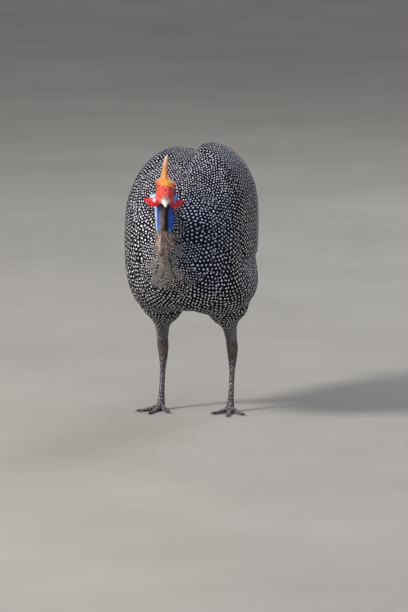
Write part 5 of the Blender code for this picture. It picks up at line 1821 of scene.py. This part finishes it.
def make_bill(name, stations, upper):
    """One half of the bill: hollowed a little along the mouth line and arched away from it."""
    rows = along_stations(stations, np.linspace(0, 1, 44))
    angles = np.linspace(0, math.pi, 33)
    flat = np.linspace(-1, 1, 13)[1:-1]
    across = np.concatenate([np.cos(angles), flat])
    lift = np.concatenate([np.sin(angles) ** 0.9, 0.06 * (1 - flat**2)])
    rings = np.empty((len(rows), len(across), 3))
    rings[..., 0] = rows[:, 3:4] * across
    rings[..., 1] = rows[:, 0:1]
    base, far = (rows[:, 2:3], rows[:, 1:2]) if upper else (rows[:, 1:2], rows[:, 2:3])
    rings[..., 2] = base + (far - base) * lift
    points, faces = tube_shell(rings)
    normals = point_normals(points, faces) * (1 if upper else -1)
    push = 0.10 * noise_at(points, 2.0, 7.0)
    if upper:
        beside = np.column_stack([np.abs(points[:, 0]), points[:, 1:]])
        hole = np.linalg.norm((beside - NOSTRIL_PLACE) / NOSTRIL_SIZE, axis=1)
        push += -1.5 * (1 - ease(hole, 0.5, 1.0)) + 0.45 * bell(hole, 1.35, 0.3)
    points = points + normals * push[:, None]
    ahead = np.clip((BILL_COLOUR_TOP - points[:, 2]) / BILL_COLOUR_LENGTH, 0, 1)
    build_mesh(name + "_horn", turn_head(points), faces, "bill", "bill", (name,), sharp=50, tip=ahead)


def make_eyes():
    for side, letter in SIDES:
        points, faces = tube_shell(ellipsoid((0, 0, 0), (EYE_RADIUS - 0.2,) * 3, 40, 64))
        out = points[:, 0] * side / EYE_RADIUS
        ring = np.hypot(*(points[:, 1:] / IRIS_SIZE).T) + np.where(out < 0, 1.0, 0.0)
        points = points * (1 + 0.05 * bell(ring, 0.0, 0.8) * (out > 0))[:, None]
        points = turn_head(points + np.array(EYE_PLACE) * [side, 1, 1])
        name = "eye_" + letter
        build_mesh(name + "_ball", points, faces, "eye", "eye", (name,), ring=ring)


def make_claws():
    steps = np.linspace(0, 1, 24)
    taper = (1 - steps) ** 0.75
    for side, letter in SIDES:
        for toe, degrees, length, _, root_height in TOES:
            ends, ahead = toe_line(side, degrees, length, root_height, np.array([0.0, 1.0]))
            centres = ends[-1] + ahead * (steps * (CLAW_LENGTH + 1.2) - 0.9)[:, None]
            centres[:, 2] = ends[-1][2] + 0.4 + 0.9 * np.sin(steps * math.pi * 0.8) - 1.3 * steps**2
            rings = level_pipe(centres, ahead, 1.45 * taper + CLAW_TIP, 1.85 * taper + CLAW_TIP, 20)
            points, faces = tube_shell(rings)
            points[:, 2] = np.maximum(points[:, 2], CLAW_TIP)
            name = f"claw_{toe}_{letter}"
            build_mesh(name + "_horn", points, faces, "claw", "claw", (name,))


# Stage

PHOTO_AZIMUTH = math.radians(12.0)
PHOTO_ELEVATION = math.radians(8.0)
PHOTO_DISTANCE = 8.5
PHOTO_FRAME_HEIGHT = 0.838
PHOTO_SIZE = (408, 612)
PHOTO_FEET = (196.4, 410.0)
FLOOR_REACH = 12.0
SKY = (0.93, 0.95, 1.0, 1.0)
SKY_STRENGTH = 0.34
LIGHTS_AIM = Vector((0, 0, 0.2))

# Lights: name, place in metres, size in metres, power in watts, colour.
LIGHTS = (
    ("key", (-2.3, -1.9, 2.3), 0.9, 134.0, (1.0, 0.97, 0.92)),
    ("fill", (2.4, -1.8, 1.4), 2.0, 16.0, (0.86, 0.92, 1.0)),
    ("rim", (0.8, 2.4, 2.2), 1.6, 34.0, (0.90, 0.95, 1.0)),
)


def place_in_scene(name, data, location, way):
    """Puts a camera or a light at a location, turned to look along a way."""
    placed = bpy.data.objects.new(name, data)
    placed.location = location
    placed.rotation_euler = way.to_track_quat("-Z", "Y").to_euler()
    bpy.context.scene.collection.objects.link(placed)
    return placed


def make_camera():
    sin_a, cos_a = math.sin(PHOTO_AZIMUTH), math.cos(PHOTO_AZIMUTH)
    sin_e, cos_e = math.sin(PHOTO_ELEVATION), math.cos(PHOTO_ELEVATION)
    back = Vector((sin_a * cos_e, -cos_a * cos_e, sin_e))
    right = Vector((cos_a, sin_a, 0.0))
    up = Vector((-sin_a * sin_e, cos_a * sin_e, cos_e))
    pixel = PHOTO_FRAME_HEIGHT / PHOTO_SIZE[1]
    feet = Vector(in_frame([LEG_SHIFT, SHANK_STATIONS[-1][0] + 3.0, 0.0]))
    feet.z = 0.0
    target = feet + right * ((PHOTO_SIZE[0] / 2 - PHOTO_FEET[0]) * pixel)
    target += up * ((PHOTO_FEET[1] - PHOTO_SIZE[1] / 2) * pixel)
    data = bpy.data.cameras.new("camera")
    data.sensor_width = 36.0
    data.lens = data.sensor_width * PHOTO_DISTANCE / PHOTO_FRAME_HEIGHT
    data.clip_end = 100.0
    bpy.context.scene.camera = place_in_scene("camera", data, target + back * PHOTO_DISTANCE, -back)


def make_stage():
    mesh = bpy.data.meshes.new("floor")
    corners = [(x * FLOOR_REACH, y * FLOOR_REACH, 0) for x, y in ((-1, -1), (1, -1), (1, 1), (-1, 1))]
    mesh.from_pydata(corners, [], [(0, 1, 2, 3)])
    floor = bpy.data.objects.new("floor", mesh)
    look = Look("pale_floor", Roughness=0.9)
    look.paint(look.blend(look.level(look.noise(3.0), 0.3, 0.7), *FLOOR_GREYS))
    mesh.materials.append(look.material)
    bpy.context.scene.collection.objects.link(floor)
    world = bpy.data.worlds.new("studio")
    world.use_nodes = True
    sky = world.node_tree.nodes["Background"].inputs
    sky[0].default_value = SKY
    sky[1].default_value = SKY_STRENGTH
    bpy.context.scene.world = world
    for name, place, size, power, shade in LIGHTS:
        data = bpy.data.lights.new(name, "AREA")
        data.shape = "DISK"
        data.size = size
        data.energy = power
        data.color = shade
        place_in_scene(name, data, place, LIGHTS_AIM - Vector(place))
    bpy.context.scene.view_settings.view_transform = "Standard"


make_camera()
make_stage()
make_skin()
make_body_coat()
for side, letter in SIDES:
    make_thigh_coat(side, letter)
for side, letter in SIDES:
    make_wing_coat(side, letter)
make_tail_coat()
make_neck_hairs()
make_leg_down()
make_casque()
make_bill("bill_upper", UPPER_BILL, True)
make_bill("bill_lower", LOWER_BILL, False)
make_eyes()
make_claws()
